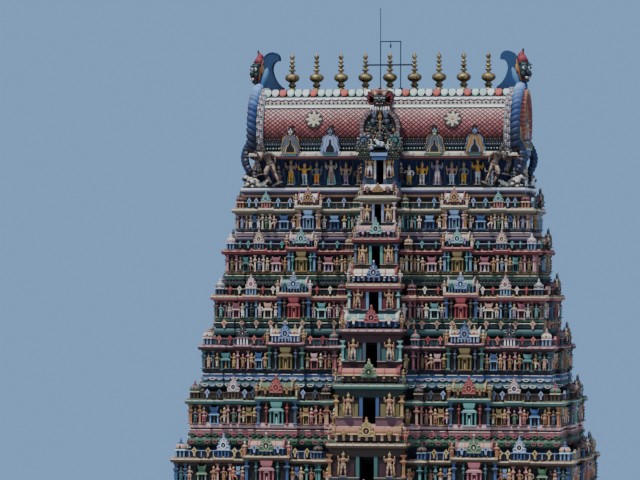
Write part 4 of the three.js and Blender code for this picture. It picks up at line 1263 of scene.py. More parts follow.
# Painted bands along the roof, each from one angle up to another: low, high, reach, paint.
roofBands = [
    (55, 66.5, 0.03, "bottle"), (51, 54.6, 0.07, "bright"), (43.6, 50.9, 0.04, "pink"),
    (39.2, 43.3, 0.05, "sage"), (35.2, 38.7, 0.08, "bright"), (33.7, 35.1, 0.05, "navy"),
    (-11.2, -7.2, 0.05, "umber"), (-14.6, -11.3, 0.06, "navy"), (-16.6, -14.7, 0.08, "slate"),
    (-19, -16.7, 0.05, "navy"), (-27, -19.1, 0.07, "deepTeal"),
]
# Rows of beads: how many, angle, size, paints by turns.
roofBeads = [
    (60, 41.2, 0.15, ("bottle", "slate")), (110, -9.2, 0.07, ("ochre", "maroon")),
    (84, -13, 0.08, ("teal", "slate")), (110, -15.7, 0.08, ("sky", "pink")),
    (84, -22.6, 0.13, ("aqua", "sage")), (84, -25.6, 0.08, ("teal",)),
]


def mixPaint(name, count, low, high, first=0):
    # a run of paints from one to another, for parts painted paler upwards, largely as painted light
    # above and painted shade below
    ends = list(zip(faded(low), faded(high)))
    for k in range(count):
        share = k / (count - 1)
        linearPaint["%s%d" % (name, first + k)] = [a + (b - a) * share for a, b in ends]


# the scales run from deep crimson low on the vault to pale pink near the ridge, largely painted shade and
# painted light
mixPaint("scale", 7, "#7a1e28", "#cf6668")
mixPaint("scale", 8, "#cf6668", "#ffc4ba", 6)
# the rope's blues, from navy to pale blue: painted shade at its feet and painted light on top
mixPaint("collar", 5, "#060c22", "#1c4f96")
mixPaint("collar", 4, "#1c4f96", "#6cb2ff", 4)


def onVault(name, x, angle, size, paints, reach=0, side=0):
    # angle is measured up from straight in front, seen from the roof's axis
    a = radians(angle)
    r = roof["radius"] + reach
    stand(name, x, r * cos(a), roof["axis"] + r * sin(a), side, size, paints, lean=angle)


def makeRoofParts():
    # one raised scale, a low pyramid standing on its corner
    bpy.ops.mesh.primitive_cone_add(vertices=4, radius1=0.5, radius2=0.34, depth=0.5,
        rotation=(pi / 2, 0, 0))
    keepPattern("scale", [donePart(bpy.context.object)])
    # a hanging half-round petal with a raised rim: rim 0, heart 1
    petal = bothWays([(0, 0), (0.19, 0.05), (0.36, 0.2), (0.47, 0.42), (0.5, 0.6), (0.46, 0.8), (0.3, 1)])
    keepPattern("petal", [panel(petal, 0.1, -0.12, 0, rim=0.12, sink=-0.06, sinkTint=1)])
    # an open lotus seen from above, for the middle of the roof: petals 0, heart 1, rim 2
    lotus = []
    for ring, reach, size in ((0, 0.62, 0.3), (1, 0.36, 0.24)):
        for i in range(8):
            t = radians(45 * i + 22.5 * ring)
            place = (cos(t) * reach, -0.05 - 0.08 * ring, sin(t) * reach)
            leaf = ball(size, place, 0, (1.15, 0.4, 0.55), 6, 4)
            leaf.rotation_euler = (0, -t, 0)
            bpy.context.view_layer.update()
            lotus.append(leaf)
    disc = turned([(0.95, 0), (1, 0.06), (0.86, 0.1), (0.8, 0.08)], sides=20, tint=2)
    disc.rotation_euler = (pi / 2, 0, 0)
    disc.location = (0, 0.05, 0)
    keepPattern("roundel", lotus + [disc, ball(0.2, (0, -0.16, 0), 1, (1, 0.7, 1), 8, 5)])
    # a bell-shaped roof dormer, 1 wide and 1 high: edge 0, band 1, thin line 2, opening 3, sill 4, cap 5
    outer = bothWays([(0, 0.83), (0.05, 0.824), (0.103, 0.77), (0.184, 0.718), (0.272, 0.666),
        (0.324, 0.614), (0.346, 0.56), (0.342, 0.49), (0.353, 0.42), (0.39, 0.35), (0.43, 0.28),
        (0.456, 0.14), (0.5, 0)])
    inner = bothWays([(0, 0.72), (0.07, 0.69), (0.12, 0.64), (0.15, 0.58), (0.155, 0.5), (0.165, 0.42),
        (0.2, 0.36), (0.27, 0.28), (0.31, 0.14), (0.32, 0.05)])
    hole = bothWays([(0, 0.58), (0.04, 0.56), (0.045, 0.44), (0.07, 0.38), (0.14, 0.32), (0.18, 0.25),
        (0.19, 0.1)])
    beads = [ball(0.03, (x * 1.02, -0.1, z), 0, segments=4, rings=3)
        for x, z in outer if 0.15 < abs(x) < 0.5]
    keepPattern("dormer", beads + [panel(outer, 0.5, -0.04, 0),
        panel([(x * 0.9, z * 0.97) for x, z in outer], 0, -0.1, 1),
        panel([(x * 1.1, z * 1.02) for x, z in inner], 0, -0.12, 2), panel(inner, 0, -0.14, 1),
        panel([(x * 1.28, z * 1.05 - 0.01) for x, z in hole], 0, -0.155, 0), panel(hole, 0, -0.165, 3),
        block((0.56, 0.2, 0.09), (0, -0.12, 0.045), 4), block((0.64, 0.24, 0.04), (0, -0.12, 0.11), 2),
        ball(0.13, (0, -0.04, 0.82), 5, (1.1, 0.8, 0.9), 6, 4),
        ball(0.035, (0.06, -0.14, 0.84), 6, segments=5, rings=3),
        ball(0.035, (-0.06, -0.14, 0.84), 6, segments=5, rings=3),
        ball(0.07, (0, -0.13, 0.75), 2, (1.3, 0.6, 0.7), 6, 4),
        limb((0.1, -0.04, 0.88), (0.17, -0.04, 0.97), 0.04, 0.01, 5, 4),
        limb((-0.1, -0.04, 0.88), (-0.17, -0.04, 0.97), 0.04, 0.01, 5, 4),
        limb((0, -0.04, 0.9), (0, -0.04, 1), 0.05, 0.012, 6, 5),
        ball(0.045, (0.3, -0.16, 0.15), 5, segments=5, rings=3),
        ball(0.045, (-0.3, -0.16, 0.15), 5, segments=5, rings=3)])


makeRoofParts()


def dressVault():
    r = roof
    pitch = 2 * r["half"] / r["scaleColumns"]
    step = (r["scalesTo"] - r["scalesFrom"]) / (r["scaleRows"] - 1)
    tall = radians(step) * r["radius"] * 2
    for side in (0, 2):
        for row in range(r["scaleRows"]):
            angle = r["scalesFrom"] + step * row
            for column in range(r["scaleColumns"] - row % 2):
                x = -r["half"] + pitch * (column + 0.5 + 0.5 * (row % 2))
                # lower rows take the darker tones and higher rows the paler ones, largely painted shade and
                # painted light
                tone = "scale%d" % max(0, min(13, row + chance.choice((-1, 0, 0, 1))))
                onVault("scale", x, angle, (pitch * 0.93, 0.13, tall * 0.93), (tone,), side=side)
        # the petals under the ridge, and the smaller ones of the painted wave below them
        for i in range(r["petals"]):
            x = -r["half"] + 2 * r["half"] * (i + 0.5) / r["petals"]
            pair = ("bright mint", "bright bright", "vermilion vermilion", "mint bright")[i % 4]
            stand("petal", x, r["ridgeHalf"] + 0.44, r["ridge"] - 0.42, side, (0.43, 0.5, 0.5), pair,
                lean=34)
            onVault("petal", x, 47, (0.42, 0.4, 0.17), "slate bright", reach=0.06, side=side)
        for count, angle, size, paints in roofBeads:
            for i in range(count):
                x = -r["half"] + 2 * r["half"] * (i + 0.5) / count
                tint = (paints[i % len(paints)],)
                onVault("bead", x, angle, (size, size, size * 1.1), tint, reach=0.08, side=side)
        for x in r["roundels"]:
            onVault("roundel", x, 17.5, 0.55, "cream gold umber", reach=0.07, side=side)
        for i, x in enumerate(r["dormers"]):
            paints = ("gold slate ochre black teal slate bright",
                "sky lavender slate black teal deepTeal sky", "gold slate yellow navy green teal aqua",
                "sky ochre brown black teal blue sky")[i if side == 0 else 3 - i]
            stand("dormer", x, 2.8, r["foot"] - 0.12, side, r["dormerSize"], paints)
    for n, (low, high, reach, tint) in enumerate(roofBands):
        for way in (-1, 1):
            points = []
            for angle in np.linspace(low, high, 4):
                a = radians(angle)
                points.append((way * (r["radius"] + reach) * cos(a),
                    r["axis"] + (r["radius"] + reach) * sin(a)))
            points += [(y * 0.96, z) for y, z in points[::-1]]
            runAlong("band%d%d" % (n, way), points, r["half"], (tint,))
    cap = r["ridgeHalf"] + 0.06
    runAlong("ridgeCap", [(-cap + 0.06, r["ridge"]), (-cap, r["ridge"] - 0.04), (-cap, r["ridge"] - 0.5),
        (cap, r["ridge"] - 0.5), (cap, r["ridge"] - 0.04), (cap - 0.06, r["ridge"])], r["half"], "bottle")
    makePiece("roof_scales_and_trim")


def runAlong(name, outline, half, paints):
    # an outline in (y, z) drawn out along the roof
    ob = panel(outline, half, -half)
    ob.rotation_euler = (0, 0, pi / 2)
    bpy.context.view_layer.update()
    keepPattern(name, [ob])
    lay(name, np.eye(4), paints)


# Old red oil paint in the grooves between the scales, nearly black, darker towards the foot of the vault
# and uneven in patches.
vaultLook = {"low": "#1c070b", "high": "#3a1216", "roughness": 0.6}


def vaultPaint():
    material, tree, shader = startMaterial("red_oil_paint_on_roof_plaster")
    place = (addNode(tree, "ShaderNodeTexCoord"), "Object")
    height = addNode(tree, "ShaderNodeSeparateXYZ", links={"Vector": place})
    rise = addNode(tree, "ShaderNodeMapRange",
        {"From Min": roof["foot"] * modelScale, "From Max": roof["ridge"] * modelScale},
        {"Value": (height, "Z")})
    grime = addNode(tree, "ShaderNodeTexNoise", {"Scale": 5, "Detail": 6}, {"Vector": place})
    tone = addNode(tree, "ShaderNodeMapRange", {"To Min": 0.75, "To Max": 1.2}, {"Value": (grime, "Fac")})
    red = addNode(tree, "ShaderNodeMix",
        {"data_type": "RGBA", "A": opaque(vaultLook["low"]), "B": opaque(vaultLook["high"])},
        {"Factor": (rise, "Result")})
    toned = addNode(tree, "ShaderNodeMix", multiply, {"A": (red, "Result"), "B": (tone, "Result")})
    setNode(tree, shader, {"Roughness": vaultLook["roughness"]}, {"Base Color": (toned, "Result")})
    return material


dressNode("roof_vault", vaultPaint())
dressVault()

# Gables: a roped collar, the curled horn, and a lion head that looks outwards

gable = {
    "inner": 7.6, "outer": 8.42, "ribs": 31, "ribTwist": 38, "ropeRadius": 2.84, "ropeOut": 8.07,
    "ringCentre": 42.7, "ringRadius": 1.5, "feathers": 30, "headOut": 8.28, "headZ": 45.76,
    "bandOut": (7.49, 7.61, 7.73),
}
linearPaint["hornBlue"] = linear("#24446c")
# a paler blue, a painted highlight on the lit flank by the horn
linearPaint["hornPale"] = linear("#5d8bb8")
linearPaint["leather"] = linear("#a4612f")


def horseshoe(radius, low=None, steps=36, centre=None):
    # an outline in (u, z), from the right foot over the top to the left foot
    centre = centre or roof["axis"]
    start = asin(max(-0.95, ((low or roof["foot"]) - centre) / radius))
    return [(radius * cos(t), centre + radius * sin(t)) for t in np.linspace(start, pi - start, steps)]


def curve(a, b, c, t):
    return tuple((1 - t) ** 2 * p + 2 * t * (1 - t) * q + t**2 * r for p, q, r in zip(a, b, c))


def makeGableParts():
    g = gable
    # the disc that closes the barrel, its face set back inside the collar
    keepPattern("gableDisc", [panel(horseshoe(2.7), -g["inner"] - 0.03, -g["outer"] + 0.25, 0)])
    keepPattern("gableBand", [panel(horseshoe(2.8), -g["inner"] + 0.24, -g["inner"] - 0.28, 0)])
    keepPattern("rib", [ball(1, (0, 0, 0), 0, segments=8, rings=6)])
    keepPattern("floret", [ball(1, (0, 0, 0), 0, segments=5, rings=3)])
    # a scale of the feather ring, 1 long, pointing up: rim 0, heart 1
    feather = bothWays([(0, 1), (0.3, 0.85), (0.46, 0.5), (0.4, 0.15), (0.25, 0)])
    keepPattern("feather", [panel(feather, 0.12, -0.1, 0, rim=0.1, sink=-0.06, sinkTint=1)])
    # the horn, drawn in (x, z) with its tip towards the middle of the roof
    horn = [(-8, 43.7), (-6.75, 43.7), (-6.6, 44.74)]
    for points, steps in (
        (((-6.6, 44.74), (-7.15, 45.05), (-7.3, 45.85)), 5),
        (((-7.3, 45.85), (-7.28, 46.45), (-6.82, 46.42)), 5),
        (((-6.82, 46.42), (-6.8, 46.88), (-7.21, 46.94)), 4),
        (((-7.21, 46.94), (-7.78, 46.93), (-7.95, 46.25)), 5),
    ):
        horn += [curve(*points, (i + 1) / steps) for i in range(steps)]
    horn.append((-8.07, 44.6))
    keepPattern("horn", [panel(horn, 0.33, -0.33, 0), panel(horn, 0.37, -0.37, 0, rim=0.06, sink=0.03)])
    # the head, looking along -y: face 0, brow 1, eye 2, pupil 3, teeth 4, rim 6, mouth 7
    parts = [ball(0.46, (0, 0.02, 0), 0, (0.95, 0.95, 1.15), 12, 8),
        ball(0.2, (0, -0.5, -0.12), 0, (0.95, 0.9, 0.7), 8, 5),
        block((0.44, 0.3, 0.14), (0, -0.36, -0.38), 7, top=(1.1, 1)),
        ball(0.26, (0, -0.2, -0.52), 0, (1.1, 1.2, 0.5), 8, 5)]
    for way in (-1, 1):
        parts += [ball(0.15, (way * 0.22, -0.36, 0.12), 2, (1.1, 0.7, 0.7), 8, 6),
            ball(0.07, (way * 0.24, -0.46, 0.11), 3, segments=6, rings=4),
            ball(0.19, (way * 0.23, -0.34, 0.27), 1, (1.15, 0.8, 0.4), 8, 5),
            ball(0.17, (way * 0.27, -0.33, -0.2), 0, (1, 0.9, 0.8), 8, 5),
            ball(0.16, (way * 0.45, 0.05, 0.1), 6, (0.5, 0.8, 1.5), 6, 5)]
        parts += [limb((way * x, -0.5, -0.34), (way * x, -0.52, -0.46), 0.04, 0.012, 4, 4)
            for x in (0.05, 0.13, 0.21)]
    keepPattern("lionFace", parts)
    # its cap, curled forwards, with a knob: cap 0, band and knob 1
    keepPattern("lionCap", [turned([(0.45, 0.26), (0.47, 0.34), (0.42, 0.38)], sides=10, tint=1),
        limb((0, 0.02, 0.34), (0, 0.12, 0.66), 0.42, 0.25, 0, 10),
        ball(0.25, (0, 0.12, 0.66), 0, (1, 1, 0.8), 8, 5),
        limb((0, 0.12, 0.66), (0, -0.02, 0.9), 0.2, 0.07, 0, 8),
        ball(0.075, (0, -0.04, 0.93), 1, (1, 1, 1.3), 6, 4)])
    # the crown of the great mask: spikes 0, middle knob 1
    spikes = [ball(0.17, (0, -0.3, 0.5), 1, (1.1, 0.9, 1.2), 8, 5)]
    for way in (-1, 1):
        spikes += [limb((way * 0.2, -0.2, 0.34), (way * 0.52, -0.2, 0.5), 0.14, 0.1, 0, 6),
            limb((way * 0.5, -0.2, 0.49), (way * 0.72, -0.2, 0.8), 0.1, 0.02, 0, 6),
            limb((way * 0.16, -0.24, 0.4), (way * 0.24, -0.24, 0.86), 0.14, 0.03, 0, 6),
            ball(0.13, (way * 0.38, -0.26, 0.34), 0, segments=6, rings=4)]
    keepPattern("maskCrown", spikes)


makeGableParts()


def turnedOnRing(name, side, radius, angle, out, centre, size, paints, twist=0):
    # puts a pattern's x along the ring's radius, on a ring that faces outwards
    move = spin(90 * side) @ Matrix.Translation((0, -out, centre)) @ spin(-angle, "Y")
    lay(name, move @ Matrix.Translation((radius, 0, 0)) @ spin(twist, "X") @ Matrix.Diagonal((*size, 1)),
        paints)


def dressRope(side):
    # the rope of slanting ribs, pale blue on top as painted light and navy at its feet as painted shade,
    # and the band of flowers inside it
    g = gable
    low = degrees(asin((roof["foot"] + 0.12 - roof["axis"]) / 2.85))
    for i in range(g["ribs"]):
        angle = low + (180 - 2 * low) * (i + 0.5) / g["ribs"]
        # higher ribs take paler paint as painted light, lower ones darker paint as painted shade
        rise = max(0, (sin(radians(angle)) + 0.45) / 1.45)
        tone = "collar%d" % round(7 * rise**1.15)
        twist = -g["ribTwist"] if angle < 90 else g["ribTwist"]
        turnedOnRing("rib", side, g["ropeRadius"], angle, g["ropeOut"], roof["axis"], (0.31, 0.38, 0.215),
            (tone,), twist)
    for i in range(90):
        angle = low + (180 - 2 * low) * (i + 0.5) / 90
        for k, out in enumerate(g["bandOut"]):
            tint = "white pink slate cream rose aqua lavender".split()[(i * 3 + k * 2) % 7]
            turnedOnRing("floret", side, 2.81, angle + 0.8 * (k % 2), out, roof["axis"],
                (0.06, 0.07, 0.075), tint)


def dressGable(name, side):
    g = gable
    stand("gableDisc", 0, 0, 0, side, 1, "crimson")
    stand("gableBand", 0, 0, 0, side, 1, "grey")
    dressRope(side)
    # the gable's own arch, which stands out beyond the collar
    for ring, radius, size, colours in (
        (0, g["ringRadius"] + 0.08, 0.34, "coral gold"), (1, g["ringRadius"] - 0.16, 0.3, "rose crimson"),
    ):
        for i in range(g["feathers"]):
            angle = -38 + 256 * (i + 0.5) / g["feathers"]
            a = radians(angle)
            stand("feather", radius * cos(a), g["outer"] - 0.05 + 0.02 * ring,
                g["ringCentre"] + radius * sin(a), side, (size, 1, size), colours, tip=90 - angle)
    ringName = name + "Ring"
    back = -g["outer"] + 0.4
    wide = horseshoe(1.52, 41.3, 30, g["ringCentre"])
    narrow = horseshoe(1.15, 41.3, 24, g["ringCentre"])
    keepPattern(ringName, [panel(wide, back, -g["outer"] - 0.06, 0, rim=0.12, sink=0.2, sinkTint=1),
        panel(narrow, back, -g["outer"] + 0.05, 2, rim=0.1, sink=0.12, sinkTint=3)])
    lay(ringName, spin(90 * side), "lavender navy gold bottle")
    stand("idol", 0, g["outer"] - 0.12, 41.45, side, 1.9, "skinBlue yellow gold slate crimson")
    for way in (-1, 1):
        stand("praying", way * 0.72, g["outer"] - 0.05, 41.4, side, 1.15, figurePaints())
        stand("fourArmed", way * 2.1, g["outer"] - 0.15, 40.7, side, (1.4, 1.2, 1.6), figurePaints())
        # the beast's tail that curls out under the rope's foot
        for i in range(9):
            t = i / 8
            out = 8.18 + 0.36 * sin(t * pi * 0.9)
            tone = "collar%d" % (2 if i % 2 else 1)
            stand("rib", way * (2.5 - 0.15 * t), out, 41.3 - 1.7 * t, side,
                (0.34 - 0.1 * t, 0.3 - 0.06 * t, 0.24), (tone,))
            stand("rib", way * (2.72 - 0.12 * t), out - 0.1, 41.34 - 1.7 * t, side, (0.12, 0.12, 0.1),
                ("grey" if i % 2 else "plum",))
    stand("hall", 0, g["outer"] - 0.1, 40.55, side, (2.4, 0.8, 0.9), "sky cream teal gold navy")
    # the head on top, the edge of the mask behind it, and the sweep of plaster up to the horn, whose pale
    # blue is a painted highlight
    turn = 34 if side == 3 else -34
    face = (1.08, 0.9, 1.22)
    stand("lionFace", 0, g["headOut"] - 0.12, g["headZ"], side, face,
        "deepTeal teal white black white red gold crimson", turn=turn)
    stand("lionCap", 0, g["headOut"] - 0.12, g["headZ"], side, (0.98, 0.86, 1.3), "oxblood umber",
        turn=turn)
    stand("rib", 0, g["headOut"] - 0.32, g["headZ"] - 0.02, side, (0.62, 0.07, 0.98), "leather", lean=12)
    # pale blue sweep, a painted highlight
    stand("rib", 0, g["headOut"] - 0.52, g["headZ"] - 0.42, side, (0.5, 0.3, 1), "hornPale", lean=18)
    stand("rib", 0, g["headOut"] - 0.2, g["headZ"] - 0.98, side, (0.5, 0.4, 0.35), "hornBlue")
    lay("horn", spin(0 if side == 3 else 180), "hornBlue")
    # the gables get painted shade and painted light at 0.4 of the full strength
    makePiece(name + "_collar_horn_and_head", [name], paintedShading=0.4)


dressGable("gable_left", 3)
dressGable("gable_right", 1)

# The great arch in the middle of the roof, front and back

arch = {"front": 3.7, "centre": 42.15, "ring": 1, "feathers": 26, "sill": 40.6, "maskZ": 43.86}


def makeArchParts():
    a = arch
    outer = horseshoe(1.16, 41.2, 30, a["centre"])
    inner = horseshoe(0.9, 41.35, 28, a["centre"])
    keepPattern("archBody", [panel([(0.9, 40.5)] + outer + [(-0.9, 40.5)], -1.7, -a["front"] + 0.3, 0),
        panel(outer, -a["front"] + 0.35, -a["front"] + 0.02, 1, rim=0.16, sink=0.06, sinkTint=2),
        panel(inner, -a["front"] + 0.2, -a["front"] - 0.06, 3, rim=0.05, sink=0.26, sinkTint=4),
        block((1.5, 0.5, 0.14), (0, -a["front"] + 0.12, a["sill"]), 5),
        block((1.3, 0.56, 0.12), (0, -a["front"] + 0.12, a["sill"] + 0.13), 3),
        block((1.1, 1.2, 1.5), (0, -a["front"] + 1.15, 43.7), 0, top=(0.7, 0.9)),
        turned([(0.13, 42.1, 6), (0.07, 42.2, 6), (0.1, 42.5, 6), (0.06, 42.6, 6), (0.14, 42.8, 6),
            (0.08, 42.95, 6), (0.1, 43.4, 6)], at=(0, -a["front"] - 0.02, 0), sides=6)])
    # a spiral curl of the beasts' tails at the arch's feet: coils 0, edge 1, eye 2
    curl = []
    for i in range(16):
        t = radians(170 - i * 36)
        r = 0.42 * (1 - i / 19)
        place = (cos(t) * r, -0.015 * i, sin(t) * r)
        curl.append(ball(0.15 * (1 - i / 26), place, 0, (1, 0.9, 1), 6, 4))
        if i < 9:
            curl.append(ball(0.085, (cos(t) * (r + 0.12), -0.03, sin(t) * (r + 0.12)), 1, segments=5,
                rings=3))
    keepPattern("curl", curl + [ball(0.1, (0, -0.24, 0), 2, segments=6, rings=4)])
    # a small bush of leaves, for the filling of the niche
    bush = [ball(0.2, (cos(t) * 0.26, -0.04 * (i % 2), sin(t) * 0.26), i % 2, (1, 0.7, 0.7), 5, 3)
        for i, t in enumerate(np.linspace(0, 2 * pi, 7)[:-1])]
    keepPattern("bush", bush + [ball(0.14, (0, -0.12, 0), 2, segments=5, rings=3)])


makeArchParts()


def standRows(side, way, out, z, rows):
    # a row is pattern, place, how far beyond out, how far above z, size, paints, and then turn and tip
    for name, u, reach, rise, size, paints, *angles in rows:
        turn, tip = (*angles, 0, 0)[:2]
        stand(name, way * u, out + reach, z + rise, side, size, paints, turn=way * turn, tip=way * tip)


def dressMask(side):
    # the great mask over the arch: its crown, dark wings, white petals under it and two hanging drops
    out, z = arch["front"], arch["maskZ"]
    stand("lionFace", 0, out, z, side, (0.86, 0.6, 0.66),
        "bottle deepTeal white black pink red maroon maroon")
    stand("maskCrown", 0, out + 0.02, z, side, (0.74, 0.5, 0.88), "peach red")
    for way in (-1, 1):
        for angle, high in ((35, 0.7), (60, 0.62), (88, 0.5), (118, 0.42)):
            stand("feather", way * 0.34, out - 0.06, z - 0.08, side, (0.36, 1, high), "maroon crimson",
                tip=way * angle)
        for k in range(4):
            stand("feather", way * (0.12 + 0.13 * k), out + 0.14, z - 0.42, side, (0.13, 0.5, 0.26),
                "pink white", tip=180 - way * (k - 1.5) * 10)
        standRows(side, way, out, z, (
            ("rib", 0.34, 0, -0.86, (0.25, 0.2, 0.42), "bottle", 0, -8),
            ("rib", 0.33, 0.14, -0.82, (0.115, 0.12, 0.3), "lavender", 0, -8),
            ("rib", 0.33, 0.22, -0.8, (0.05, 0.06, 0.2), "navy", 0, -8),
        ))


def dressArch(name, side):
    a = arch
    lay("archBody", spin(90 * side), "umber brown maroon umber black sky ochre")
    for i in range(a["feathers"]):
        angle = -34 + 248 * (i + 0.5) / a["feathers"]
        t = radians(angle)
        slant = 40 if angle < 90 else -40
        stand("feather", a["ring"] * cos(t), a["front"] + 0.02, a["centre"] + a["ring"] * sin(t), side,
            (0.3, 0.9, 0.32), "umber mauve" if i % 2 else "brown grey", tip=90 - angle + slant)
    dressMask(side)
    for way in (-1, 1):
        standRows(side, way, a["front"], 42.5, (
            ("rib", 0.42, 0, 0, (0.22, 0.2, 0.24), "navy"),
            ("rib", 0.42, 0.12, 0.02, (0.12, 0.12, 0.14), "slate"),
        ))
        for k in range(26):
            place = (way * chance.uniform(0.12, 0.86), a["front"] + 0.02, chance.uniform(41.5, 42.95))
            tint = "bottle olive slate plum deepTeal mauve ochre navy green".split()[k % 9]
            stand("rib", *place, side, (0.07, 0.1, 0.09), tint, tip=chance.uniform(-50, 50))
        coils = "slate pink teal" if way < 0 else "teal mauve green"
        standRows(side, way, a["front"], 0, (
            ("bush", 0.66, 0, 42.2, 0.5, "bottle deepTeal teal"),
            ("bush", 0.32, 0.04, 42.12, 0.46, "deepTeal bottle olive"),
            ("bush", 0.6, 0.04, 41.72, 0.5, "slate bottle mauve"),
            ("curl", 0.98, 0.1, 41.32, (0.86 * way, 1, 0.92), coils),
            ("seated", 0.5, 0.14, 40.84, (0.7, 0.7, 0.8), "skinPale sky aqua sky white"),
            ("praying", 0.7, 0.16, 40.72, (0.6, 0.6, 0.62), "peach coral gold sky cream"),
            ("bearer", 0.42, 0.05, 41.25, (0.5, 0.5, 0.62), "skinTan umber olive umber brown"),
            ("standing", 1.2, -0.2, 40.3, (0.85, 0.85, 1), "green teal tan bottle sage", 25),
            ("bush", 1.12, -0.1, 40.75, 0.7, "bottle brown green"),
        ))
    stand("seated", 0, a["front"] + 0.1, 41.42, side, (1, 1, 1.15), "grey umber brown slate black")
    stand("bull", 0, a["front"] + 0.16, 40.98, side, (0.66, 0.8, 0.7), "white cream sky slate")
    makePiece(name + "_lion_face_and_niche", [name])


def makeBull():
    # a bull that lies down, for the corners of the neck: body 0, horns 1, cloth 2, block 3
    parts = [block((0.95, 0.4, 0.08), (0, 0, 0.04), 3),
        ball(0.26, (0.05, 0, 0.3), 0, (1.5, 0.72, 0.85), 8, 6),
        ball(0.15, (-0.26, 0, 0.46), 0, (0.9, 0.8, 1.3), 6, 5),
        ball(0.13, (-0.4, 0, 0.62), 0, (1.35, 0.85, 0.85), 6, 5),
        ball(0.11, (-0.12, 0, 0.55), 0, (1, 0.8, 0.8), 6, 4),
        block((0.24, 0.4, 0.3), (0.08, 0, 0.32), 2, top=(0.8, 0.9)),
        limb((0.4, 0, 0.32), (0.47, 0, 0.12), 0.03, 0.02, 0, 4)]
    for way in (-1, 1):
        parts += [limb((-0.36, way * 0.07, 0.7), (-0.34, way * 0.16, 0.86), 0.035, 0.01, 1, 4),
            limb((-0.3, way * 0.13, 0.14), (-0.5, way * 0.13, 0.1), 0.06, 0.04, 0, 5),
            limb((0.34, way * 0.16, 0.18), (0.12, way * 0.18, 0.1), 0.08, 0.04, 0, 5),
            ball(0.05, (-0.36, way * 0.13, 0.63), 0, (0.7, 1.6, 0.6), 5, 3)]
    keepPattern("bull", parts)


makeBull()
dressArch("front_arch", 0)
dressArch("back_arch", 2)
print("roof ready")

# The neck storey: fourteen standing figures on a deep blue wall, bulls and leaping giants at the corners

# From the door outwards, left then right: skin, cloth of the legs, drape, pose. The legs' cloths are
# mostly unfaded brass, milk and bright, partly painted light for the sun on the legs.
neckCast = (
    ("skinTan tan olive standing", "peach lilac rose fourArmed", "skinPale peach mint idol",
     "grey brass vermilion fourArmed", "brass bright teal bearer", "peach brass turquoise idol",
     "slate rose lilac fourArmed"),
    ("milk brass sage standing", "brass milk mauve fourArmed", "lilac milk rose idol",
     "skinRose bright sky fourArmed", "grey brass olive standing", "brass bright crimson idol",
     "milk bright slate bearer"),
)


def neckCorner(side, way):
    # the giant that leans out over the corner, and the pale beasts round its feet
    standRows(side, way, neck["wall"][1] + 0.62, neck["floor"], (
        ("dancing", 6.35, 0.5, 0.1, (2.15 * way, 1.7, 2.9), "brown tan umber umber maroon", 0, 24),
        ("rib", 7.05, 0.62, 0.75, (0.13, 0.12, 0.2), "maroon"),
        ("bearer", 7.5, 0.3, 0.7, (1.5 * way, 1.2, 1.7), "umber brown maroon umber slate", 0, 12),
        ("bull", 8, 0.05, 0, (-way, 1, 1), "milk umber grey slate", -12),
        ("bull", 7.4, 0.15, 0, (0.7 * way, 0.8, 0.62), "cream grey sage slate", 10),
        ("seated", 7.95, -0.1, 0.5, (way, 0.9, 1), "grey umber cream milk brown"),
        ("bush", 8.35, -0.2, 0.5, (0.9, 0.6, 1), "grey umber plum"),
        ("bush", 8.1, 0.3, 0.2, (0.7, 0.5, 0.6), "umber milk brown"),
        ("standing", 7.7, -0.55, 0.1, (1.2 * way, 1.2, 1.5), "deepTeal navy umber slate navy"),
    ))


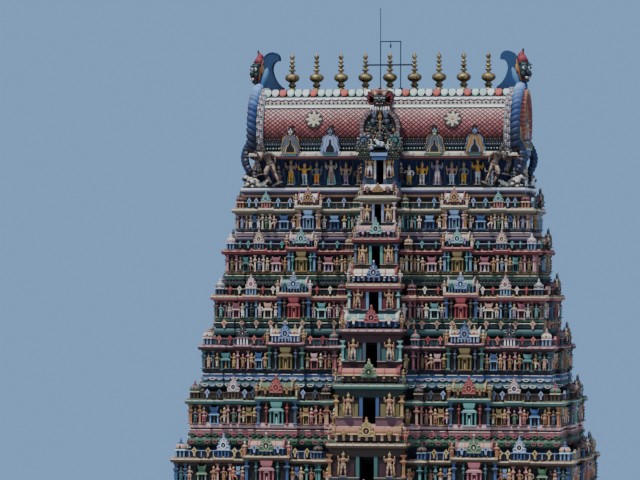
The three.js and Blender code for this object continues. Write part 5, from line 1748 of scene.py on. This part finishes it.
def dressNeck():
    n = neck
    floor = n["floor"]
    wallMaterial = wallPlaster("neck_deep_blue_plaster_wall", "neckBlue", "blue",
        (floor + 0.34) * modelScale)
    for half in ("neck_right_wall", "neck_left_wall"):
        dressNode(half, wallMaterial)
    out = n["wall"][1] + 0.3
    for side in (0, 2):
        for way in (-1, 1):
            for i, x in enumerate(n["figures"]):
                skin, cloth, drape, pose = neckCast[(way > 0) == (side == 0)][i].split()
                tall = (1.3, 1.46, 1.72, 1.46, 1.46, 1.72, 1.26)[i]
                stand(pose, way * x, out, floor + 0.1, side, (1.5 * way, 1.5, tall),
                    (skin, cloth, "gold", "slate", drape))
                stand("rail", way * (x + 0.42), n["wall"][1] - 0.02, floor + 0.3, side, (0.09, 0.2, 1.3),
                    "slate")
            standRows(side, way, n["porchFront"], floor, (
                ("guardian", 0.6, 0.14, 0.5, (1.25 * way, 1.2, 1.52), "skinGold white gold brown skinRose"),
                ("rail", 0.6, 0, 0, (0.76, 0.24, 0.46), "slate"),
                ("rail", 0.3, -0.02, 0.4, (0.14, 0.12, 1.3), "cream"),
                ("rail", 0.72, -0.06, 0.4, (0.5, 0.1, 1.3), "umber"),
                ("standing", n["porchHalf"] + 0.16, -0.45, 0.3, (1.1, 1.1, 1.2),
                    "brown umber tan umber maroon", 50),
            ))
            neckCorner(side, way)
        stand("rail", 0, n["porchFront"] + 0.3, n["eaveZ"] - 0.12, side, (0.9, 0.24, 0.2), "blue")
        stand("rail", 0, n["porchFront"] + 0.36, n["eaveZ"] + 0.12, side, (1.05, 0.24, 0.2), "sky")
        for way in (-1, 1):
            for k in range(6):
                stand("bush", way * (0.66 + 0.2 * (k % 4)), n["porchFront"] + 0.36,
                    n["eaveZ"] + 0.06 + 0.24 * (k // 3 + k % 2), side, (0.6, 0.5, 0.62),
                    ("bottle umber deepTeal", "brown bottle green")[k % 2])
    for side in (1, 3):
        for u, pose in ((-1.2, "fourArmed"), (0, "idol"), (1.2, "fourArmed")):
            stand(pose, u, n["wall"][0] + 0.3, floor + 0.1, side, 1.4, figurePaints())
        for way in (-1, 1):
            stand("bull", way * 1.9, n["wall"][0] + 0.62, floor, side, (0.9 * -way, 0.9, 0.9),
                "white cream lilac slate")
    moulding("neckPlinth", boxPlan(*n["wall"]),
        [(-0.05, floor, 0), (0.5, floor, 0), (0.5, floor + 0.1, 0), (0.12, floor + 0.12, 0),
        (0.12, floor + 0.16, 1), (0.16, floor + 0.22, 1), (0.08, floor + 0.26, 1),
        (-0.05, floor + 0.26, 1)], "black slate")
    makePiece("neck_figures_and_corner_bulls")


linearPaint["neckBlue"] = linear("#222f58")
dressNeck()

# The eave over the neck: a cream roll under the barrel, maroon below
moulding("neckEaveBand", boxPlan(*neck["eave"]),
    [(-0.35, 40.26, 2), (-0.04, 40.26, 2), (0, 40.34, 2), (0.05, 40.38, 3), (0.05, 40.45, 3),
    (0.1, 40.48, 1), (0.17, 40.53, 0), (0.17, 40.62, 0), (0.1, 40.7, 0), (0, 40.75, 0), (-0.2, 40.78, 1),
    (-0.45, 40.8, 1), (-0.45, 40.55, 1)], "cream navy maroon rose")
for side in (0, 2):
    for way in (-1, 1):
        for i in range(9):
            stand("crest", way * (1.9 + 0.72 * i), neck["eave"][1] + 0.18, 40.64, side, (0.15, 0.14, 0.12),
                "white")
            stand("dash", way * (2.26 + 0.72 * i), neck["eave"][1] + 0.17, 40.5, side, (0.66, 1, 0.8),
                "tan")
    edge = boxPlan(neck["porchHalf"] - 0.1, 0.5)
    label = "neckPorchEave%d" % side
    moulding(label, edge, [(-0.3, 40.24, 0), (0, 40.24, 0), (0.05, 40.34, 0), (0.1, 40.42, 1),
        (0.1, 40.52, 1), (0, 40.58, 1), (-0.3, 40.58, 1)], "blue sky",
        shiftOut(side, 0, neck["porchFront"] - 0.42))
makePiece("neck_eave_roll_and_crests")
dressNode("neck_eave", wallPlaster("neck_eave_maroon_plaster", "maroon", "maroon", 20.2))

# Finials: beaten copper pots on a spindle, gilded and now dull, brightest on top of each swelling

finial = {
    "foot": 44.56, "pitch": 1.516, "count": 9, "sides": 20, "gilt": "#a39266", "tarnish": "#594a32",
    "roughness": 0.52,
    "rows": [
        (0.3, 0), (0.28, 0.06), (0.18, 0.13), (0.13, 0.19), (0.2, 0.24), (0.235, 0.29), (0.23, 0.35),
        (0.17, 0.4), (0.12, 0.46), (0.24, 0.53), (0.36, 0.6), (0.42, 0.69), (0.425, 0.77), (0.4, 0.86),
        (0.33, 0.93), (0.21, 0.98), (0.11, 1.02), (0.085, 1.1), (0.17, 1.15), (0.21, 1.19), (0.2, 1.23),
        (0.1, 1.27), (0.078, 1.35), (0.15, 1.4), (0.19, 1.44), (0.18, 1.48), (0.09, 1.52), (0.07, 1.59),
        (0.14, 1.64), (0.172, 1.68), (0.16, 1.72), (0.08, 1.76), (0.065, 1.82), (0.12, 1.87), (0.15, 1.94),
        (0.14, 2.01), (0.08, 2.09), (0.03, 2.16), (0.008, 2.25),
    ],
}


def giltCopper():
    material, tree, shader = startMaterial("dulled_gilded_copper")
    place = (addNode(tree, "ShaderNodeTexCoord"), "Object")
    patches = addNode(tree, "ShaderNodeTexNoise", {"Scale": 9, "Detail": 5}, {"Vector": place})
    blend = addNode(tree, "ShaderNodeMapRange", {"From Min": 0.4, "From Max": 0.65},
        {"Value": (patches, "Fac")})
    metal = addNode(tree, "ShaderNodeMix",
        {"data_type": "RGBA", "A": opaque(finial["gilt"]), "B": opaque(finial["tarnish"])},
        {"Factor": (blend, "Result")})
    hammered = addNode(tree, "ShaderNodeTexVoronoi", {"Scale": 26}, {"Vector": place})
    bump = addNode(tree, "ShaderNodeBump", {"Strength": 0.2, "Distance": 0.004},
        {"Height": (hammered, "Distance")})
    ends = {"Base Color": (metal, "Result"), "Normal": (bump, "Normal")}
    setNode(tree, shader, {"Metallic": 0.7, "Roughness": finial["roughness"]}, ends)
    return material


gilt = giltCopper()
keepPattern("finial", [turned([(r * 1.05, z * 1.05) for r, z in finial["rows"]], sides=finial["sides"],
    smooth=True)])
for i in range(finial["count"]):
    x = (i - (finial["count"] - 1) / 2) * finial["pitch"]
    stand("finial", x, 0, finial["foot"], 0, 1, "gold")
    makePiece("finial_%d_pot" % (i + 1), ["finial_%d" % (i + 1)], gilt)


def steelPaint():
    # galvanised pipe, painted once and gone dull: dark grey with rust in patches
    material, tree, shader = startMaterial("weathered_painted_steel_pipe")
    place = (addNode(tree, "ShaderNodeTexCoord"), "Object")
    patches = addNode(tree, "ShaderNodeTexNoise", {"Scale": 6, "Detail": 6}, {"Vector": place})
    rust = addNode(tree, "ShaderNodeMapRange", {"From Min": 0.55, "From Max": 0.7},
        {"Value": (patches, "Fac")})
    tone = addNode(tree, "ShaderNodeMix",
        {"data_type": "RGBA", "A": opaque("#34373d"), "B": opaque("#5a3a28")}, {"Factor": (rust, "Result")})
    setNode(tree, shader, {"Metallic": 0.35, "Roughness": 0.6}, {"Base Color": (tone, "Result")})
    return material


steel = steelPaint()
dressNode("lamp_frame", steel)
dressNode("lightning_rod", steel)

# The granite base: plinth mouldings, pilasters with brackets, niches between them, and two stone eaves

base = {
    "wall": (14.1, 9.55), "porch": (4.2, 1.3), "step": (5.6, 0.55), "gate": 2.62, "bay": 2.35,
    "lower": (2.5, 7.05), "upper": (8.25, 10.95),
    # reach and height of each profile, from its foot up
    "plinth": (
        (-0.1, 1), (0.98, 1), (1, 1.06), (0.98, 1.2), (0.86, 1.26), (0.84, 1.34), (0.93, 1.42),
        (0.98, 1.54), (0.98, 1.66), (0.92, 1.78), (0.8, 1.87), (0.5, 1.9), (0.46, 2.2), (0.6, 2.24),
        (0.72, 2.3), (0.74, 2.38), (0.66, 2.46), (0.3, 2.54), (-0.1, 2.56),
    ),
    "wallHead": (
        (-0.1, 6.95), (0.1, 6.95), (0.12, 7.1), (0.22, 7.2), (0.3, 7.4), (0.32, 7.59), (-0.1, 7.59),
    ),
    "string": (
        (-0.1, 7.62), (0.38, 7.62), (0.52, 7.68), (0.64, 7.8), (0.66, 7.9), (0.5, 7.99), (0.3, 8.06),
        (0.12, 8.1), (0.12, 8.28), (-0.1, 8.28),
    ),
    "eave": (
        (-0.1, 10.9), (0.12, 10.9), (0.2, 11.1), (0.45, 11.24), (0.74, 11.27), (0.98, 11.3), (1.04, 11.4),
        (1.02, 11.52), (0.9, 11.64), (0.72, 11.76), (0.4, 11.8), (-0.1, 11.8),
    ),
}
# Dressed granite, laid in courses: grey-brown blocks, fine dark joints, crystals and streaks of soot.
graniteLook = {
    "blockMm": (820, 290), "jointMm": 5, "grainMm": 7, "streakMm": 380, "stone": ("#aa9f8d", "#8d8476"),
    "joint": "#4c463e", "soot": "#413c35", "roughness": 0.78,
}


def dressedGranite():
    look = graniteLook
    material, tree, shader = startMaterial("dressed_granite_in_courses")
    place = (addNode(tree, "ShaderNodeTexCoord"), "Object")
    axes = addNode(tree, "ShaderNodeSeparateXYZ", links={"Vector": place})
    # the courses run round the corners, because x and y are added
    along = addNode(tree, "ShaderNodeMath", {"operation": "ADD"}, {0: (axes, "X"), 1: (axes, "Y")})
    flat = addNode(tree, "ShaderNodeCombineXYZ", links={"X": (along, 0), "Y": (axes, "Z")})
    blocks = addNode(tree, "ShaderNodeTexBrick",
        {"Scale": 1, "Mortar Size": look["jointMm"] / 1000, "Mortar Smooth": 0.3, "Bias": 0,
        "Brick Width": look["blockMm"][0] / 1000, "Row Height": look["blockMm"][1] / 1000,
        "Color1": opaque(look["stone"][0]), "Color2": opaque(look["stone"][1]),
        "Mortar": opaque(look["joint"])}, {"Vector": (flat, "Vector")})
    grain = addNode(tree, "ShaderNodeTexNoise", {"Scale": 1000 / look["grainMm"], "Detail": 4},
        {"Vector": place})
    speckle = addNode(tree, "ShaderNodeMapRange",
        {"From Min": 0.3, "From Max": 0.7, "To Min": 0.8, "To Max": 1.16}, {"Value": (grain, "Fac")})
    drawn = addNode(tree, "ShaderNodeMapping", {"Scale": (1, 1, 0.2)}, {"Vector": place})
    streaks = addNode(tree, "ShaderNodeTexNoise",
        {"Scale": 1000 / look["streakMm"], "Detail": 6, "Roughness": 0.6}, {"Vector": (drawn, "Vector")})
    sooty = addNode(tree, "ShaderNodeMapRange",
        {"From Min": 0.48, "From Max": 0.78, "To Min": 0, "To Max": 0.6}, {"Value": (streaks, "Fac")})
    stone = addNode(tree, "ShaderNodeMix", multiply, {"A": (blocks, "Color"), "B": (speckle, "Result")})
    weathered = addNode(tree, "ShaderNodeMix", {"data_type": "RGBA", "B": opaque(look["soot"])},
        {"Factor": (sooty, "Result"), "A": (stone, "Result")})
    joints = addNode(tree, "ShaderNodeBump", {"invert": True, "Strength": 0.6, "Distance": 0.005},
        {"Height": (blocks, "Fac")})
    pitted = addNode(tree, "ShaderNodeBump", {"Strength": 0.2, "Distance": 0.002},
        {"Height": (grain, "Fac"), "Normal": (joints, "Normal")})
    ends = {"Base Color": (weathered, "Result"), "Normal": (pitted, "Normal")}
    setNode(tree, shader, {"Roughness": look["roughness"]}, ends)
    return material


def basePlan(reach, start):
    # one quarter of the base's outline from start onwards, carried round to the back
    (x, y), (porch, out), (step, back) = base["wall"], base["porch"], base["step"]
    quarter = [(porch + reach, -(y + out + reach)), (porch + reach, -(y + back + reach)),
        (step + reach, -(y + back + reach)), (step + reach, -(y + reach)), (x + reach, -(y + reach))]
    if start:
        quarter.insert(0, (start, -(y + out + reach)))
    return quarter + [(px, -py) for px, py in quarter[::-1]]


def roundBase(reach):
    half = basePlan(reach, 0)
    return half + [(-x, -y) for x, y in half]


def dressBase():
    for name in ("plinth", "wallHead"):
        rows = [(reach, height, 0) for reach, height in base[name]]
        moulding("base" + name, lambda reach: basePlan(reach, base["gate"]), rows, "grey")
        lay("base" + name, spin(180), "grey")
    for name in ("string", "eave"):
        rows = [(reach, height, 0) for reach, height in base[name]]
        moulding("base" + name, roundBase, rows, "grey")
    for start, (low, high), wide in ((base["gate"] + 0.35, base["lower"], 3.8), (0.4, base["upper"], 2.9)):
        plan = basePlan(0, start)
        for a, b in zip(plan, plan[1:]):
            run = hypot(b[0] - a[0], b[1] - a[1])
            if run < 0.9:
                continue
            turn = degrees(atan2(b[1] - a[1], b[0] - a[0]))
            count = max(1, round(run / base["bay"]))
            for i in range(2 * count + 1):
                share = (0.35 + (run - 0.7) * i / (2 * count)) / run
                x, y = a[0] + (b[0] - a[0]) * share, a[1] + (b[1] - a[1]) * share
                tall = high - low
                for half in (0, 180):
                    move = spin(half) @ Matrix.Translation((x, y, low)) @ spin(turn)
                    if i % 2 == 0:
                        lay("pilaster", move @ Matrix.Diagonal((wide, wide, tall, 1)), "grey")
                    elif run / count > 1.5:
                        size = Matrix.Diagonal((1.15, 1.6, tall * 0.8, 1))
                        lay("shrine" if i % 4 == 1 else "bigShrine", move @ size, "grey")
    first = storeySizes(stepped["count"] - 1)
    podiumBand(first, {"podium": "grey", "motif": ("scallop", 0.5, (0.4, 0.6, 0.28), ("grey",))}, 11.74,
        "base")
    makePiece("granite_mouldings_pilasters_and_niches", material=granite)


granite = dressedGranite()
for name in ("base_right", "base_left", "base_upper", "base_cornice"):
    dressNode(name, granite)
dressBase()
print("base ready")
